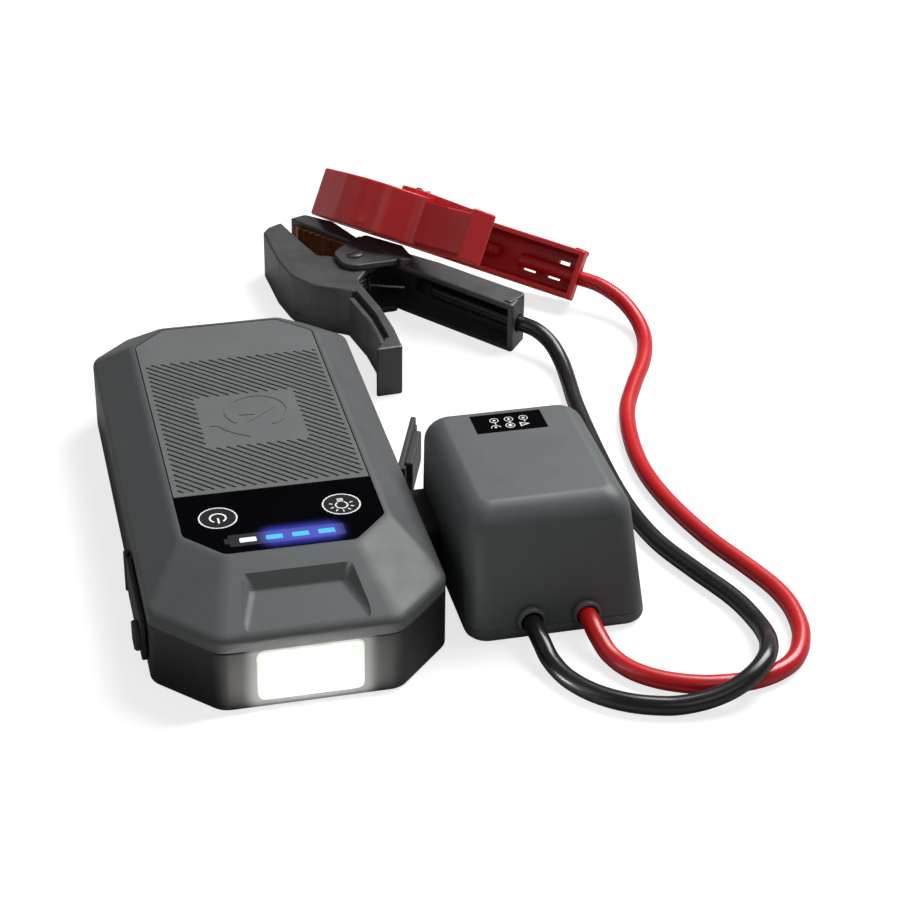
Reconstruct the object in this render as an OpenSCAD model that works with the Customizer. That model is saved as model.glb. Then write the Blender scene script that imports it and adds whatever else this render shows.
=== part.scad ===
// Jump starter pack with a plug-in control box, two cables and two battery clamps.
// Origin: centre of the pack's underside. +X to the plug side, +Y away from the lamp, +Z up.

/* [Pack] */
// Width of the pack
pack_w = 92; // [80:1:120]
// Length of the pack
pack_l = 195.6; // [180:1:240]
// Height of the black lower case
lower_h = 21; // [19:0.5:26]
// Height of the upright skirt of the top cover
skirt_h = 4.8; // [3:0.2:8]
// Rise from the skirt to the flat top
crown_h = 9.8; // [7:0.2:14]
// Wall of the lower case and the top cover
case_wall = 2.2; // [1.8:0.1:2.6]
// Front corner cut, across the pack
nose_cut_x = 18.6; // [12:0.5:24]
// Front corner cut, along the pack
nose_cut_y = 19.5; // [12:0.5:24]
// Rear corner cut
tail_cut = 14; // [8:0.5:20]
// Run of the long sides' slope
side_run = 12.8; // [9:0.2:16]
// Run of the front slope
nose_run = 29.8; // [24:0.2:34]
// Run of the rear slope
tail_run = 12.8; // [9:0.2:16]

/* [Controls] */
// Depth that the charging pad and the control panel are let in
inlay = 1; // [0.6:0.1:1.2]
// Length of the glossy control panel
panel_l = 35.5; // [33:0.5:40]
// Radius of each button's cap
button_r = 6.3; // [5:0.1:7]
// Distance between the two buttons
button_gap = 39; // [30:1:42]
// Travel of each button
button_travel = 0.6; // [0.4:0.1:0.8]
// Clearance round buttons and windows
cap_gap = 0.15; // [0.1:0.05:0.3]
// Width of one battery gauge window
gauge_w = 5.6; // [4:0.2:6.4]
// Height of one battery gauge window
gauge_h = 2.9; // [2:0.1:3.4]
// Distance between gauge windows
gauge_pitch = 8.15; // [7.5:0.05:9]

/* [Lamp] */
// Width of the lamp's window
lamp_w = 32.5; // [24:0.5:40]
// Height of the lamp's window
lamp_h = 17.8; // [12:0.2:17.8]
// Thickness of the window
lamp_t = 2.4; // [1.6:0.1:3]

/* [Ports] */
// Width of the jump socket's mouth
socket_w = 24; // [20:1:26]
// Height of the jump socket's mouth
socket_h = 11; // [9:0.5:12]
// Distance of the jump socket behind the pack's middle (negative is towards the lamp)
socket_y = -28; // [-34:1:-24]
// Radius of a plug pin
pin_r = 2.5; // [2:0.1:3]
// Distance between the plug pins
pin_pitch = 12; // [10:0.5:13]
// Running clearance of each plug pin
pin_gap = 0.05; // [0.02:0.01:0.1]
// Length of the row of USB ports
usb_l = 32; // [28:1:36]
// Distance of the USB ports behind the pack's middle
usb_y = -56; // [-60:1:-50]
// Thickness of the rubber covers
flap_t = 1.8; // [1.2:0.1:2.4]
// Angle of the open jump port cover off the pack's side
flap_turn = 20; // [16:1:24]

/* [Control box] */
// Gap between the pack and the box's foot
box_gap = 6.5; // [6:0.5:12]
// Width of the box at its foot
box_w = 59; // [50:1:70]
// Length of the box at its foot
box_l = 72; // [60:1:90]
// Height of the box
box_h = 45; // [38:1:55]
// Height of the parting line
box_base_h = 4.6; // [4:0.2:5]
// Wall of the box
box_wall = 2; // [1.6:0.1:2.4]
// Lean of the box's walls, from foot to top
box_lean = 5.5; // [3:0.5:8]
// Lean of the wall beside the pack, from foot to top
box_plug_lean = 0.5; // [0.5:0.5:6]
// Lean of the box's cable end, from foot to top
box_nose_lean = 7.4; // [4:0.2:10]
// Distance of the box's middle behind the pack's middle
box_y = -45.2; // [-50:0.2:-40]

/* [Cables] */
// Outside diameter of each cable
cable_d = 6; // [5:0.2:6.4]

/* [Clamps] */
// Height of a clamp's channel
jaw_h = 20; // [18:0.5:24]
// Wall of a clamp's channel
jaw_wall = 2; // [1.6:0.1:2.4]
// Radius of the pivot pin
pivot_r = 2.5; // [2:0.1:3]
// Running clearance of the moving half on the pin
pivot_gap = 0.05; // [0.02:0.01:0.1]
// Thickness of a pivot ear
ear_t = 2.3; // [1.8:0.1:2.6]
// Gap between the ears and the moving half
ear_gap = 0.25; // [0.15:0.05:0.4]
// Thickness of the copper contacts
contact_t = 1.2; // [0.8:0.1:1.6]
// Height of the copper contacts
contact_h = 15.6; // [12:0.2:15.8]
// Outside radius of the spring's coil
coil_r = 6; // [5:0.1:6.5]
// Wire of the spring
wire_d = 1.6; // [1.2:0.1:2]

/* [Hidden] */
$fn = 48;

grey = "#55595a";
black = "#1d1d1f";
red = "#b01c20";
copper = "#b06a3c";
pcb = "#1f5a38";
steel = "#b9bcbf";

half_w = pack_w / 2;
half_l = pack_l / 2;
rim_z = lower_h + skirt_h;
top_z = rim_z + crown_h;
eps = 0.01;

// Eight-sided outline: half width, front and rear ends, front cuts, rear cut, all drawn in by t
function outline(hw, front, rear, cut_x, cut_y, cut_r, t = 0) =
    let (k = 0.586 * t, w = hw - t, f = front + t, r = rear - t,
        cx = cut_x - k, cy = cut_y - k, cr = cut_r - k)
    [[-w, f + cy], [-w + cx, f], [w - cx, f], [w, f + cy],
     [w, r - cr], [w - cr, r], [-w + cr, r], [-w, r - cr]];
function rim_outline(t = 0) = outline(half_w, -half_l, half_l, nose_cut_x, nose_cut_y, tail_cut, t);
// Raised top: its corner cuts follow the rim's, a little smaller
top_cut_x = nose_cut_x - 6.4;
top_cut_y = nose_cut_y - 6;
top_cut_r = tail_cut - 2;
top_front = -half_l + nose_run;
top_rear = half_l - tail_run;
function top_outline(t = 0) =
    outline(half_w - side_run, top_front, top_rear, top_cut_x, top_cut_y, top_cut_r, t);

module plate(points, z0, z1) { translate([0, 0, z0]) linear_extrude(z1 - z0) polygon(points); }
module block(low, high) { translate(low) cube(high - low); }
module disc(at, r, z0, z1) { translate([at.x, at.y, z0]) cylinder(r = r, h = z1 - z0); }
module slope(low_points, z0, high_points, z1) {
    hull() {
        plate(low_points, z0, z0 + eps);
        plate(high_points, z1 - eps, z1);
    }
}

// ---- lower case and top cover ----
boss_r = 3.4;
boss_x = half_w - case_wall - boss_r - 0.9;
boss_ys = [-half_l + nose_cut_y + 4.3, 4, half_l - tail_cut - 1.8];
screw_r = 1.35;
head_r = 2.7;
head_h = 1.8;
head_sink = 2.4;
bevel = 1.4;
module at_bosses() { for (sx = [-1, 1], y = boss_ys) translate([sx * boss_x, y, 0]) children(); }

lamp_z = lower_h / 2 + 1.2;
lamp_gap = 0.1;
socket_z = 13;
usb_z0 = 7;
usb_z1 = 18.5;
usb_front = usb_y - usb_l / 2;
usb_rear = usb_y + usb_l / 2;

module lower_case() {
    color(black) difference() {
        union() {
            difference() {
                union() {
                    plate(rim_outline(), bevel, lower_h);
                    slope(rim_outline(bevel), 0, rim_outline(), bevel + eps);
                }
                plate(rim_outline(case_wall), head_sink + 0.6, lower_h + 1);
            }
            at_bosses() cylinder(r = boss_r, h = lower_h);
        }
        at_bosses() {
            translate([0, 0, -1]) cylinder(r = screw_r + 0.2, h = lower_h + 2);
            translate([0, 0, -1]) cylinder(r = head_r + 0.3, h = head_sink + 1);
        }
        // lamp opening, closed above by the top cover
        block([-lamp_w / 2 - lamp_gap, -half_l - 1, lamp_z - lamp_h / 2 - lamp_gap],
            [lamp_w / 2 + lamp_gap, -half_l + case_wall + 1, lower_h + 1]);
        // mouth of the jump socket
        block([half_w - case_wall - 1, socket_y - socket_w / 2, socket_z - socket_h / 2],
            [half_w + 1, socket_y + socket_w / 2, socket_z + socket_h / 2]);
        // mouth of the USB ports
        block([-half_w - 1, usb_front, usb_z0], [-half_w + case_wall + 1, usb_rear, usb_z1]);
    }
}

// Hollow in front of the top: a scoop with a flat floor and leaning sides
scoop_back_w = 17.9;
scoop_floor_w = 14.3;
scoop_front_w = 19.5;
scoop_back_y = top_front - 5.2;
scoop_floor_y = top_front - 10.2;
scoop_front_y = -half_l + 2.2;
scoop_floor_z = rim_z + 3;
module scoop() {
    high = top_z + 4;
    hull() {
        for (sx = [-1, 1]) {
            translate([sx * scoop_floor_w, scoop_floor_y, scoop_floor_z]) cube(eps, center = true);
            translate([sx * scoop_front_w, scoop_front_y, rim_z + 0.4]) cube(eps, center = true);
            translate([sx * (scoop_back_w + 3), scoop_back_y + 3, high]) cube(eps, center = true);
            translate([sx * (scoop_front_w + 3), scoop_front_y - 3, high]) cube(eps, center = true);
        }
    }
}
roof_t = inlay + 1.4;
module cover_outer() {
    plate(rim_outline(), lower_h, rim_z);
    slope(rim_outline(), rim_z - eps, top_outline(), top_z);
}
module top_cover() {
    color(grey) difference() {
        union() {
            difference() {
                cover_outer();
                plate(rim_outline(case_wall), lower_h - 1, rim_z - 1);
                slope(rim_outline(case_wall), rim_z - 1 - eps, top_outline(case_wall), top_z - roof_t);
            }
            intersection() {
                block([-scoop_front_w - 6, -half_l + 1, rim_z - 2.6],
                    [scoop_front_w + 6, top_front, top_z - roof_t]);
                cover_outer();
            }
            at_bosses() translate([0, 0, lower_h]) cylinder(r = boss_r, h = skirt_h + 1.5);
        }
        scoop();
        plate(top_outline(1.5), top_z - inlay, top_z + 1);
        at_bosses() cylinder(r = screw_r, h = lower_h + skirt_h);
        for (x = [-1, 1] * button_gap / 2) disc([x, button_y], button_r + 0.2, lower_h, top_z + 1);
        gauge_slots(0.2, lower_h, top_z + 1);
    }
}

// ---- controls on the flat top ----
panel_rear = top_front + 1.5 + panel_l;
button_y = top_front + 22.4;
gauge_y = top_front + 8.4;
inlay_gap = 0.1;
module gauge_slots(grow, z0, z1) {
    for (i = [0:3]) {
        x = (i - 1.5) * gauge_pitch;
        block([x - gauge_w / 2 - grow, gauge_y - gauge_h / 2 - grow, z0],
            [x + gauge_w / 2 + grow, gauge_y + gauge_h / 2 + grow, z1]);
    }
}
module control_panel() {
    color(black) difference() {
        plate(top_outline(1.5 + inlay_gap), top_z - inlay, top_z);
        block([-half_w, panel_rear, 0], [half_w, half_l, top_z + 1]);
        for (x = [-1, 1] * button_gap / 2) disc([x, button_y], button_r + cap_gap, 0, top_z + 1);
        gauge_slots(0.1, 0, top_z + 1);
    }
}
module charging_pad() {
    color(grey) difference() {
        plate(top_outline(1.5 + inlay_gap), top_z - inlay, top_z);
        block([-half_w, -half_l, 0], [half_w, panel_rear + inlay_gap, top_z + 1]);
    }
}
module gauge_windows() { color("#7fd8ff") gauge_slots(0, top_z - roof_t, top_z - 0.05); }
board_t = 1.6;
control_board_z = top_z - 8.6;
gauge_led_h = 3;
module gauge_leds() {
    color("white") for (i = [0:3]) translate([(i - 1.5) * gauge_pitch, gauge_y, control_board_z + board_t])
        block([-1.6, -1.2, 0], [1.6, 1.2, gauge_led_h]);
}
button_cap_h = 2.2;
button_stem_h = 2.2;
flange_t = 0.9;
module button(x) {
    color("#2a2b2d") translate([x, button_y, top_z]) {
        translate([0, 0, -button_cap_h]) cylinder(r = button_r, h = button_cap_h);
        translate([0, 0, -button_cap_h - flange_t]) cylinder(r = button_r - 0.4, h = flange_t);
        translate([0, 0, -button_cap_h - button_stem_h]) cylinder(r = 1.8, h = button_stem_h);
    }
}
module power_button() { button(-button_gap / 2); }
module light_button() { button(button_gap / 2); }
switch_h = top_z - button_cap_h - button_stem_h - button_travel - 0.02 - control_board_z - board_t;
module control_board() {
    color(pcb) {
        block([-28, top_front + 4.4, control_board_z], [28, panel_rear - 3, control_board_z + board_t]);
        for (x = [-1, 1] * button_gap / 2)
            disc([x, button_y], 3, control_board_z + board_t, control_board_z + board_t + switch_h);
    }
}

// ---- lamp ----
module lamp_window() {
    r = 2;
    color("white") translate([0, -half_l - 0.3, lamp_z]) rotate([-90, 0, 0]) linear_extrude(lamp_t)
        union() {
            square([lamp_w, lamp_h - 2 * r], center = true);
            square([lamp_w - 2 * r, lamp_h], center = true);
            for (sx = [-1, 1], sy = [-1, 1])
                translate([sx * (lamp_w / 2 - r), sy * (lamp_h / 2 - r)]) circle(r = r);
        }
}
module lamp_board() {
    y = -half_l + 4.6;
    color("white") {
        block([-17, y, 4.4], [17, y + 1.6, 19.4]);
        for (x = [-11, 0, 11], z = [9, 15]) block([x - 1.8, y - 0.9, z - 1.8], [x + 1.8, y, z + 1.8]);
    }
}

// ---- inside the pack ----
cell_t = 5.2;
cell_gap = 0.3;
cell_w = 2 * (boss_x - boss_r - 0.8);
cell_front = -8;
cell_rear = half_l - tail_cut - 2;
floor_z = head_sink + 0.6;
module battery_cells() {
    color("#3b6ea8") for (i = [0:2]) {
        z = floor_z + 0.3 + i * (cell_t + cell_gap);
        block([-cell_w / 2, cell_front, z], [cell_w / 2, cell_rear, z + cell_t]);
    }
}
main_board_z = floor_z + 2.4;
module main_board() {
    color(pcb) {
        block([-26, -half_l + 12, main_board_z], [14, cell_front - 3, main_board_z + board_t]);
        for (y = [-78, -62, -46]) block([-18, y, main_board_z + board_t], [-8, y + 10, main_board_z + 7]);
        for (y = [-74, -56]) disc([4, y], 4, main_board_z + board_t, main_board_z + 9);
    }
}
coil_y = 14;
coil_outer = 22;
coil_inner = 11;
coil_t = 1.2;
coil_z = top_z - roof_t - coil_t - 0.2;
shield_t = 0.8;
module charging_coil() {
    color(copper) translate([0, coil_y, coil_z]) difference() {
        cylinder(r = coil_outer, h = coil_t, $fn = 96);
        translate([0, 0, -1]) cylinder(r = coil_inner, h = coil_t + 2, $fn = 96);
    }
}
module coil_shield() {
    color("#4a4a4a") block([-24, coil_y - 24, coil_z - shield_t], [24, coil_y + 24, coil_z]);
}

// ---- jump socket, plug and USB ports ----
nose_gap = 0.2;
plug_flange_x = half_w + 0.3;
nose_x = half_w - 9;
pin_tip_x = nose_x - 11;
socket_back_x = pin_tip_x - 6;
socket_front_x = half_w - case_wall - 0.1;
module pin_pair(r, x0, x1) {
    for (s = [-1, 1]) translate([x0, socket_y + s * pin_pitch / 2, socket_z]) rotate([0, 90, 0])
        cylinder(r = r, h = x1 - x0);
}
module jump_socket() {
    w = socket_w / 2;
    h = socket_h / 2;
    color("#2b4f9a") difference() {
        block([socket_back_x, socket_y - w - 1.8, socket_z - h - 1.8],
            [socket_front_x, socket_y + w + 1.8, socket_z + h + 1.8]);
        block([nose_x - 0.3, socket_y - w, socket_z - h], [half_w, socket_y + w, socket_z + h]);
        pin_pair(pin_r + pin_gap, pin_tip_x - 0.5, nose_x);
    }
}
plug_reach = 6;
module plug_housing() {
    w = socket_w / 2;
    h = socket_h / 2;
    color("#26272a") difference() {
        union() {
            block([nose_x, socket_y - w + nose_gap, socket_z - h + nose_gap],
                [plug_flange_x, socket_y + w - nose_gap, socket_z + h - nose_gap]);
            block([plug_flange_x, socket_y - w - 1, socket_z - h - 1],
                [box_left + plug_reach, socket_y + w + 1, socket_z + h + 1]);
        }
        pin_pair(pin_r, nose_x - 1, box_left + plug_reach + 1);
    }
}
module plug_pins() { color("#d8b45a") pin_pair(pin_r, pin_tip_x, box_left + plug_reach + 2); }

usb_depth = 13;
usb_x = -half_w + case_wall + 0.2;
module usb_ports() {
    color(steel) for (i = [0:1]) translate([usb_x, usb_y + (i - 0.5) * 15.6, main_board_z + board_t + 0.1])
        difference() {
            block([0, -6.55, 0], [usb_depth, 6.55, 5.7]);
            block([-1, -6.1, 0.45], [usb_depth - 1, 6.1, 1.4]);
            block([-1, -6.1, 3.4], [usb_depth - 1, 6.1, 5.25]);
            block([-1, -6.1, 1.3], [0.6, 6.1, 3.5]);
        }
}
flap_gap = 0.2;
usb_hinge_r = 1.2;
usb_hinge_y = usb_rear + 5;
usb_hinge_x = -half_w - flap_gap - usb_hinge_r;
module usb_port_cover() {
    x1 = -half_w - flap_gap;
    x0 = x1 - flap_t;
    color("#3f4244") {
        disc([usb_hinge_x, usb_hinge_y], usb_hinge_r, usb_z0 - 1, lower_h - 0.5);
        block([x0, usb_front - 2.4, usb_z0 - 1.6], [x1, usb_hinge_y, usb_z1 + 1.4]);
        // plug that seals the mouth
        block([x1 - eps, usb_front + 1, usb_z0 + 0.6], [x1 + 1.6, usb_rear - 1, usb_z1 - 0.6]);
        // finger block at the front end
        block([x0 - 2.2, usb_front - 2.4, usb_z0 + 1.6], [x0 + eps, usb_front + 5.2, usb_z1 - 1]);
    }
}
flap_l = 35;
flap_z0 = socket_z - socket_h / 2 - 1.2;
flap_z1 = flap_z0 + 15.6;
knuckle_r = 1.5;
jump_hinge_x = half_w + flap_gap + knuckle_r;
jump_hinge_y = socket_y + socket_w / 2 + 11;
module jump_port_cover() {
    color("#4a4d4f") translate([jump_hinge_x, jump_hinge_y, 0]) rotate([0, 0, -flap_turn]) {
        disc([0, 0], knuckle_r, flap_z0, flap_z1);
        block([-knuckle_r, 0, flap_z0], [flap_t - knuckle_r, flap_l, flap_z1]);
        // sealing block that goes into the mouth
        block([flap_t - knuckle_r - eps, 5, flap_z0 + 1.6], [flap_t - knuckle_r + 2.8, 28, flap_z1 - 1.6]);
    }
}
module case_screws() {
    color(steel) at_bosses() {
        translate([0, 0, head_sink - head_h]) cylinder(r = head_r, h = head_h);
        translate([0, 0, head_sink - eps]) cylinder(r = screw_r, h = lower_h + 2.6 - head_sink);
    }
}

// ---- control box ----
box_left = half_w + box_gap;
box_x = box_left + box_w / 2;
box_round = 7;
function box_half_w(z) = box_w / 2 - box_lean * z / box_h;
function box_plug_half_w(z) = box_w / 2 - box_plug_lean * z / box_h;
function box_half_l(z) = box_l / 2 - box_nose_lean / 2 * z / box_h;
// Only the cable end leans, so the box's middle moves back as it rises
function box_mid(z) = box_y + box_nose_lean / 2 * z / box_h;
// Outline of the box at height z, drawn in by t: a rectangle with rounded corners
corner_steps = 5;
function box_outline(z, t) =
    let (l = box_half_l(z) - t, r = box_round - t)
    [for (q = [0:3], k = [0:corner_steps])
        let (a = 90 * (q + k / corner_steps), sx = q == 0 || q == 3 ? 1 : -1, sy = q < 2 ? 1 : -1,
            w = (sx > 0 ? box_half_w(z) : box_plug_half_w(z)) - t)
        [box_x + sx * (w - r) + r * cos(a), box_mid(z) + sy * (l - r) + r * sin(a)]];
crown_r = 7;
// Levels of the box's skin: height, and how far the outline is drawn in there
crown = [[0, 1.4], [1.4, 0], [box_h - crown_r, 0], [box_h - crown_r * 0.5, crown_r * 0.13],
    [box_h - crown_r * 0.13, crown_r * 0.5], [box_h, crown_r]];
module box_body(t) {
    lift = t > 0 ? box_wall : 0;
    hull() for (level = crown) {
        z = max(lift, level[0] - t);
        plate(box_outline(level[0], t + level[1] * (1 - t / crown_r)), z, z + eps);
    }
}
box_boss_r = 3.2;
grommet_r = 4.6;
exit_offsets = [-9.5, 8.5];
// Bosses stand beside the grommets and behind the plug, against the end walls
box_screw_x = -exit_offsets[0] + grommet_r + box_boss_r + 0.7;
box_screw_ys = [-box_l / 2 + 6.5, box_l / 2 - 5];
module at_box_bosses() {
    for (sx = [-1, 1], dy = box_screw_ys) translate([box_x + sx * box_screw_x, box_y + dy, 0]) children();
}
label_w = 23.5;
label_l = 11.5;
label_x = box_x - 2.5;
label_y = box_y + box_l / 2 - crown_r - label_l - 0.4;
label_z = box_h - 0.6;
module box_base() {
    color(grey) difference() {
        intersection() {
            box_body(0);
            block([box_x - box_w, box_y - box_l, 0], [box_x + box_w, box_y + box_l, box_base_h]);
        }
        intersection() {
            box_body(box_wall);
            block([box_x - box_w, box_y - box_l, box_wall], [box_x + box_w, box_y + box_l, box_base_h + 1]);
        }
        at_box_bosses() translate([0, 0, -1]) cylinder(r = screw_r + 0.2, h = box_base_h + 2);
        at_box_bosses() translate([0, 0, -1]) cylinder(r = head_r + 0.2, h = head_h + 1.1);
        grommet_holes();
    }
    color(grey) difference() {
        at_box_bosses() translate([0, 0, box_wall - eps]) cylinder(r = box_boss_r, h = box_base_h - box_wall);
        at_box_bosses() translate([0, 0, -1]) cylinder(r = screw_r + 0.2, h = box_base_h + 2);
    }
}
module box_cover() {
    color(grey) difference() {
        union() {
            difference() {
                box_body(0);
                box_body(box_wall);
            }
            at_box_bosses() translate([0, 0, box_base_h]) cylinder(r = box_boss_r, h = 10);
        }
        block([box_x - box_w, box_y - box_l, -1], [box_x + box_w, box_y + box_l, box_base_h]);
        at_box_bosses() cylinder(r = screw_r, h = box_base_h + 7);
        block([box_left - 3, socket_y - socket_w / 2 - 1.05, socket_z - socket_h / 2 - 1.05],
            [box_left + plug_reach, socket_y + socket_w / 2 + 1.05, socket_z + socket_h / 2 + 1.05]);
        block([label_x - label_w / 2 - 0.1, label_y - 0.1, label_z - 0.4],
            [label_x + label_w / 2 + 0.1, label_y + label_l + 0.1, box_h + 1]);
        grommet_holes();
    }
}
module box_label() {
    color(black) block([label_x - label_w / 2, label_y, label_z - 0.4],
        [label_x + label_w / 2, label_y + label_l, box_h - 0.05]);
}
box_board_z = 8;
module box_board() {
    color(pcb) block([box_left + plug_reach + 4.6, box_y - 21, box_board_z],
        [box_x + box_half_w(box_board_z) - box_wall - 3, box_y + 21, box_board_z + board_t]);
}
module box_relays() {
    color("#2d2d30") for (dy = [-18, 2])
        block([box_x - 6, box_y + dy, box_board_z + board_t], [box_x + 12, box_y + dy + 15, box_board_z + 20]);
}
// Copper bars from the plug pins towards the two cable terminals
bus_t = 1.5;
module bus_bars() {
    x0 = box_left + plug_reach + 2;
    color(copper) for (s = [-1, 1])
        block([x0, socket_y + s * pin_pitch / 2 - 2.4, socket_z - pin_r], 
            [x0 + bus_t, socket_y + s * pin_pitch / 2 + 2.4, socket_z + pin_r + 8]);
}
module box_screws() {
    color(steel) at_box_bosses() {
        translate([0, 0, 0.1]) cylinder(r = head_r, h = head_h);
        translate([0, 0, 0.1 + head_h - eps]) cylinder(r = screw_r, h = box_base_h + 4.8 - head_h);
    }
}
grommet_z = 7.5;
grommet_flange_t = 1.6;
grommet_face_y = box_mid(grommet_z) - box_half_l(grommet_z) - 2.4;
module grommet_holes() {
    for (dx = exit_offsets) translate([box_x + dx, grommet_face_y - 1, grommet_z]) rotate([-90, 0, 0])
        cylinder(r = grommet_r - 0.6, h = 10);
}
module cable_grommets() {
    color("#4b4e50") for (dx = exit_offsets)
        translate([box_x + dx, grommet_face_y, grommet_z]) rotate([-90, 0, 0]) difference() {
            union() {
                cylinder(r = grommet_r, h = grommet_flange_t);
                cylinder(r = grommet_r - 0.7, h = 9);
            }
            translate([0, 0, -1]) cylinder(r = cable_d / 2 + 0.3, h = 3);
        }
}

// ---- cables ----
// Each route leaves its grommet, lies on the floor and rises into its clamp's channel
black_route = [[72.5, -80.4, 7.5], [72.5, -85, 7.5], [72.9, -91, 6.5], [74, -98, 4.2], [77, -107, 3.1],
    [83, -116, 3], [92, -123, 3], [103, -127, 3], [113, -128, 4], [122, -127, 5.8], [130, -124, 8.2],
    [136, -118.5, 9.4], [140, -110.5, 8], [142.8, -101, 5], [143.5, -91, 3.2], [141, -77, 3],
    [134, -59, 3], [127.5, -41, 3], [124.5, -24, 3], [123.5, -6, 3], [123.8, 14, 3], [125, 38, 3],
    [126.5, 58, 3], [128.4, 74, 3.4], [129, 86, 5], [127.5, 96, 7.6], [123.8, 103.5, 9.6],
    [118.5, 110, 10], [111, 120, 10], [103.5, 130, 10], [97, 138.6, 10]];
red_route = [[90.5, -80.4, 7.5], [90.5, -85, 7.5], [91, -91, 6], [93, -99, 3.6], [98, -108, 3],
    [106.5, -115, 3], [119, -119.5, 3], [134.5, -119.6, 3], [147, -113.5, 3], [154.6, -101, 3],
    [157, -87, 3], [156, -75, 3], [152, -62, 3], [144.6, -42, 3], [138.8, -18, 3], [136.6, 4, 3],
    [138.4, 26, 3], [143.6, 48, 3], [152.1, 66.6, 3], [160.2, 82.1, 3], [165.5, 96.2, 3], [167.2, 107, 4.2],
    [166.2, 117, 6.5], [163.1, 125.7, 8.8], [157.8, 133.3, 10.7], [151.1, 139.4, 11.6],
    [142.6, 147.6, 12.4], [132.4, 157.3, 13.2]];
function unit(v) = v / norm(v);
function heading(route, i) =
    unit(route[min(i + 1, len(route) - 1)] - route[max(i - 1, 0)]);
// One ring of the tube: side lies level, over leans with the route
function ring(route, i, r, sides) =
    let (t = heading(route, i), side = unit(cross(t, [0, 0, 1])), over = cross(side, t))
    [for (k = [0:sides - 1]) route[i] + r * (cos(360 * k / sides) * side + sin(360 * k / sides) * over)];
module tube(route, r, sides) {
    n = len(route);
    points = [for (i = [0:n - 1]) each ring(route, i, r, sides)];
    walls = [for (i = [0:n - 2], k = [0:sides - 1])
        let (a = i * sides + k, b = i * sides + (k + 1) % sides)
        each [[a, b, b + sides], [a, b + sides, a + sides]]];
    first = [[for (k = [sides - 1:-1:0]) k]];
    last = [[for (k = [0:sides - 1]) (n - 1) * sides + k]];
    polyhedron(points, concat(walls, first, last), convexity = 10);
}
module black_cable() { color(black) tube(black_route, cable_d / 2, 12); }
module red_cable() { color(red) tube(red_route, cable_d / 2, 12); }

// ---- clamps: drawn with the pivot on the Z axis and the clamp lying on z = 0 ----
black_at = [64, 156, 0];
red_at = [88.1, 174, 16.15];
red_turn = [-20.4, 25.3, -0.3];
red_open = 6;
module at_black() { translate(black_at) children(); }
module at_red() { translate(red_at) rotate(red_turn) children(); }
module at_red_cable() { at_red() rotate([0, 0, red_open]) children(); }

lip_out = 5.6;
hub_r = 9;
// Outline of the thumb half, jaw tip first, then down its outer side
thumb_outline = [[-22.5, 41.7], [-28.5, 38], [-31.2, 33.8], [-29.8, 8], [-27, -7], [-20.5, -17],
    [-10.6, -22.6], [-6.4, -25.8], [-3.2, -45], [-2, -66.3], [-2 - lip_out, -74.8], [3.1, -74],
    [3.1, -58], [1.6, -40], [-2.2, -17], [3, -8.5], [-8.5, 7], [-13.4, 8.2], [-17.9, 23.3]];
// Hollow of the thumb half, open towards the other half
thumb_hollow = [[-17, 39], [-26.6, 35.6], [-29, 32.6], [-27.7, 8.4], [-25, -6.2], [-19.4, -15.3],
    [-10, -20.8], [-4.6, -24.6], [-1.2, -45], [0, -66], [-3.4, -72.8], [4.2, -72], [12, -58],
    [12, 12], [-6, 12]];
module thumb_handle(c) {
    lift = ear_t + ear_gap;
    color(c) difference() {
        union() {
            difference() {
                plate(thumb_outline, 0, jaw_h);
                plate(thumb_hollow, jaw_wall, jaw_h - jaw_wall);
                disc([0, 0], hub_r + 6, -1, lift + eps);
                plate(cable_sweep, -1, lift);
            }
            intersection() {
                at_thumb_contact() contact_post(rivet_l + 9);
                plate(thumb_outline, lift, jaw_h);
            }
            disc([0, 0], hub_r, jaw_h - jaw_wall, jaw_h);
            disc([0, 0], hub_r, lift, lift + jaw_wall);
            // web that ties the lower hub plate to the outer wall
            plate([[-26, -10], [-19.5, -16.4], [-8, -21.6], [-3, -20], [-2, -8], [-6, 6], [-16, 8],
                [-28.4, 8]], lift, lift + jaw_wall);
        }
        disc([0, 0], pivot_r + pivot_gap, -1, jaw_h + 1);
    }
}
// Ground that the cable half's lower ear needs under the thumb half, shut to wide open
cable_sweep = [[-11, 8], [-11, -10], [2, -16], [20, -16], [20, 10]];

// Outline of the cable half's channel: jaw tip, outer side, end of the handle, inner side
cable_jaw = [[-18.3, 44.7], [-11.6, 47.3], [-1.6, 38.2], [5.4, 20], [13.5, 11], [11, 4], [3.6, 16]];
cable_grip = [[5.4, 20], [32.4, -8], [58.5, -40.9], [50.6, -51.4], [17.6, -8.4], [10.6, 1.6]];
back_wall = [[-18.3, 44.7], [-11.6, 47.3], [-1.6, 38.2], [5.4, 20], [32.4, -8], [58.5, -40.9],
    [56.9, -42.2], [30.7, -9.2], [3.8, 18.8], [-3.3, 37], [-11.9, 44.9], [-17.6, 42.6]];
cable_body = concat([for (i = [0:5]) back_wall[i]], [[50.6, -51.4], [17.6, -8.4], [10.6, 1.6], [-1, 20]]);
end_wall = [[58.5, -40.9], [50.6, -51.4], [49.3, -49.6], [57, -39.3]];
ear = [[2, 15.5], [-8, 4.4], [-6.4, -5.6], [-1.5, -9.2], [16.7, -7.6], [11.4, 1.6], [5.6, 17]];
grip_dir = [0.601, -0.799];
grip_angle = atan2(grip_dir.y, grip_dir.x);
cable_line = [54.5, -46.2];
mid_z = jaw_h / 2;
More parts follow.
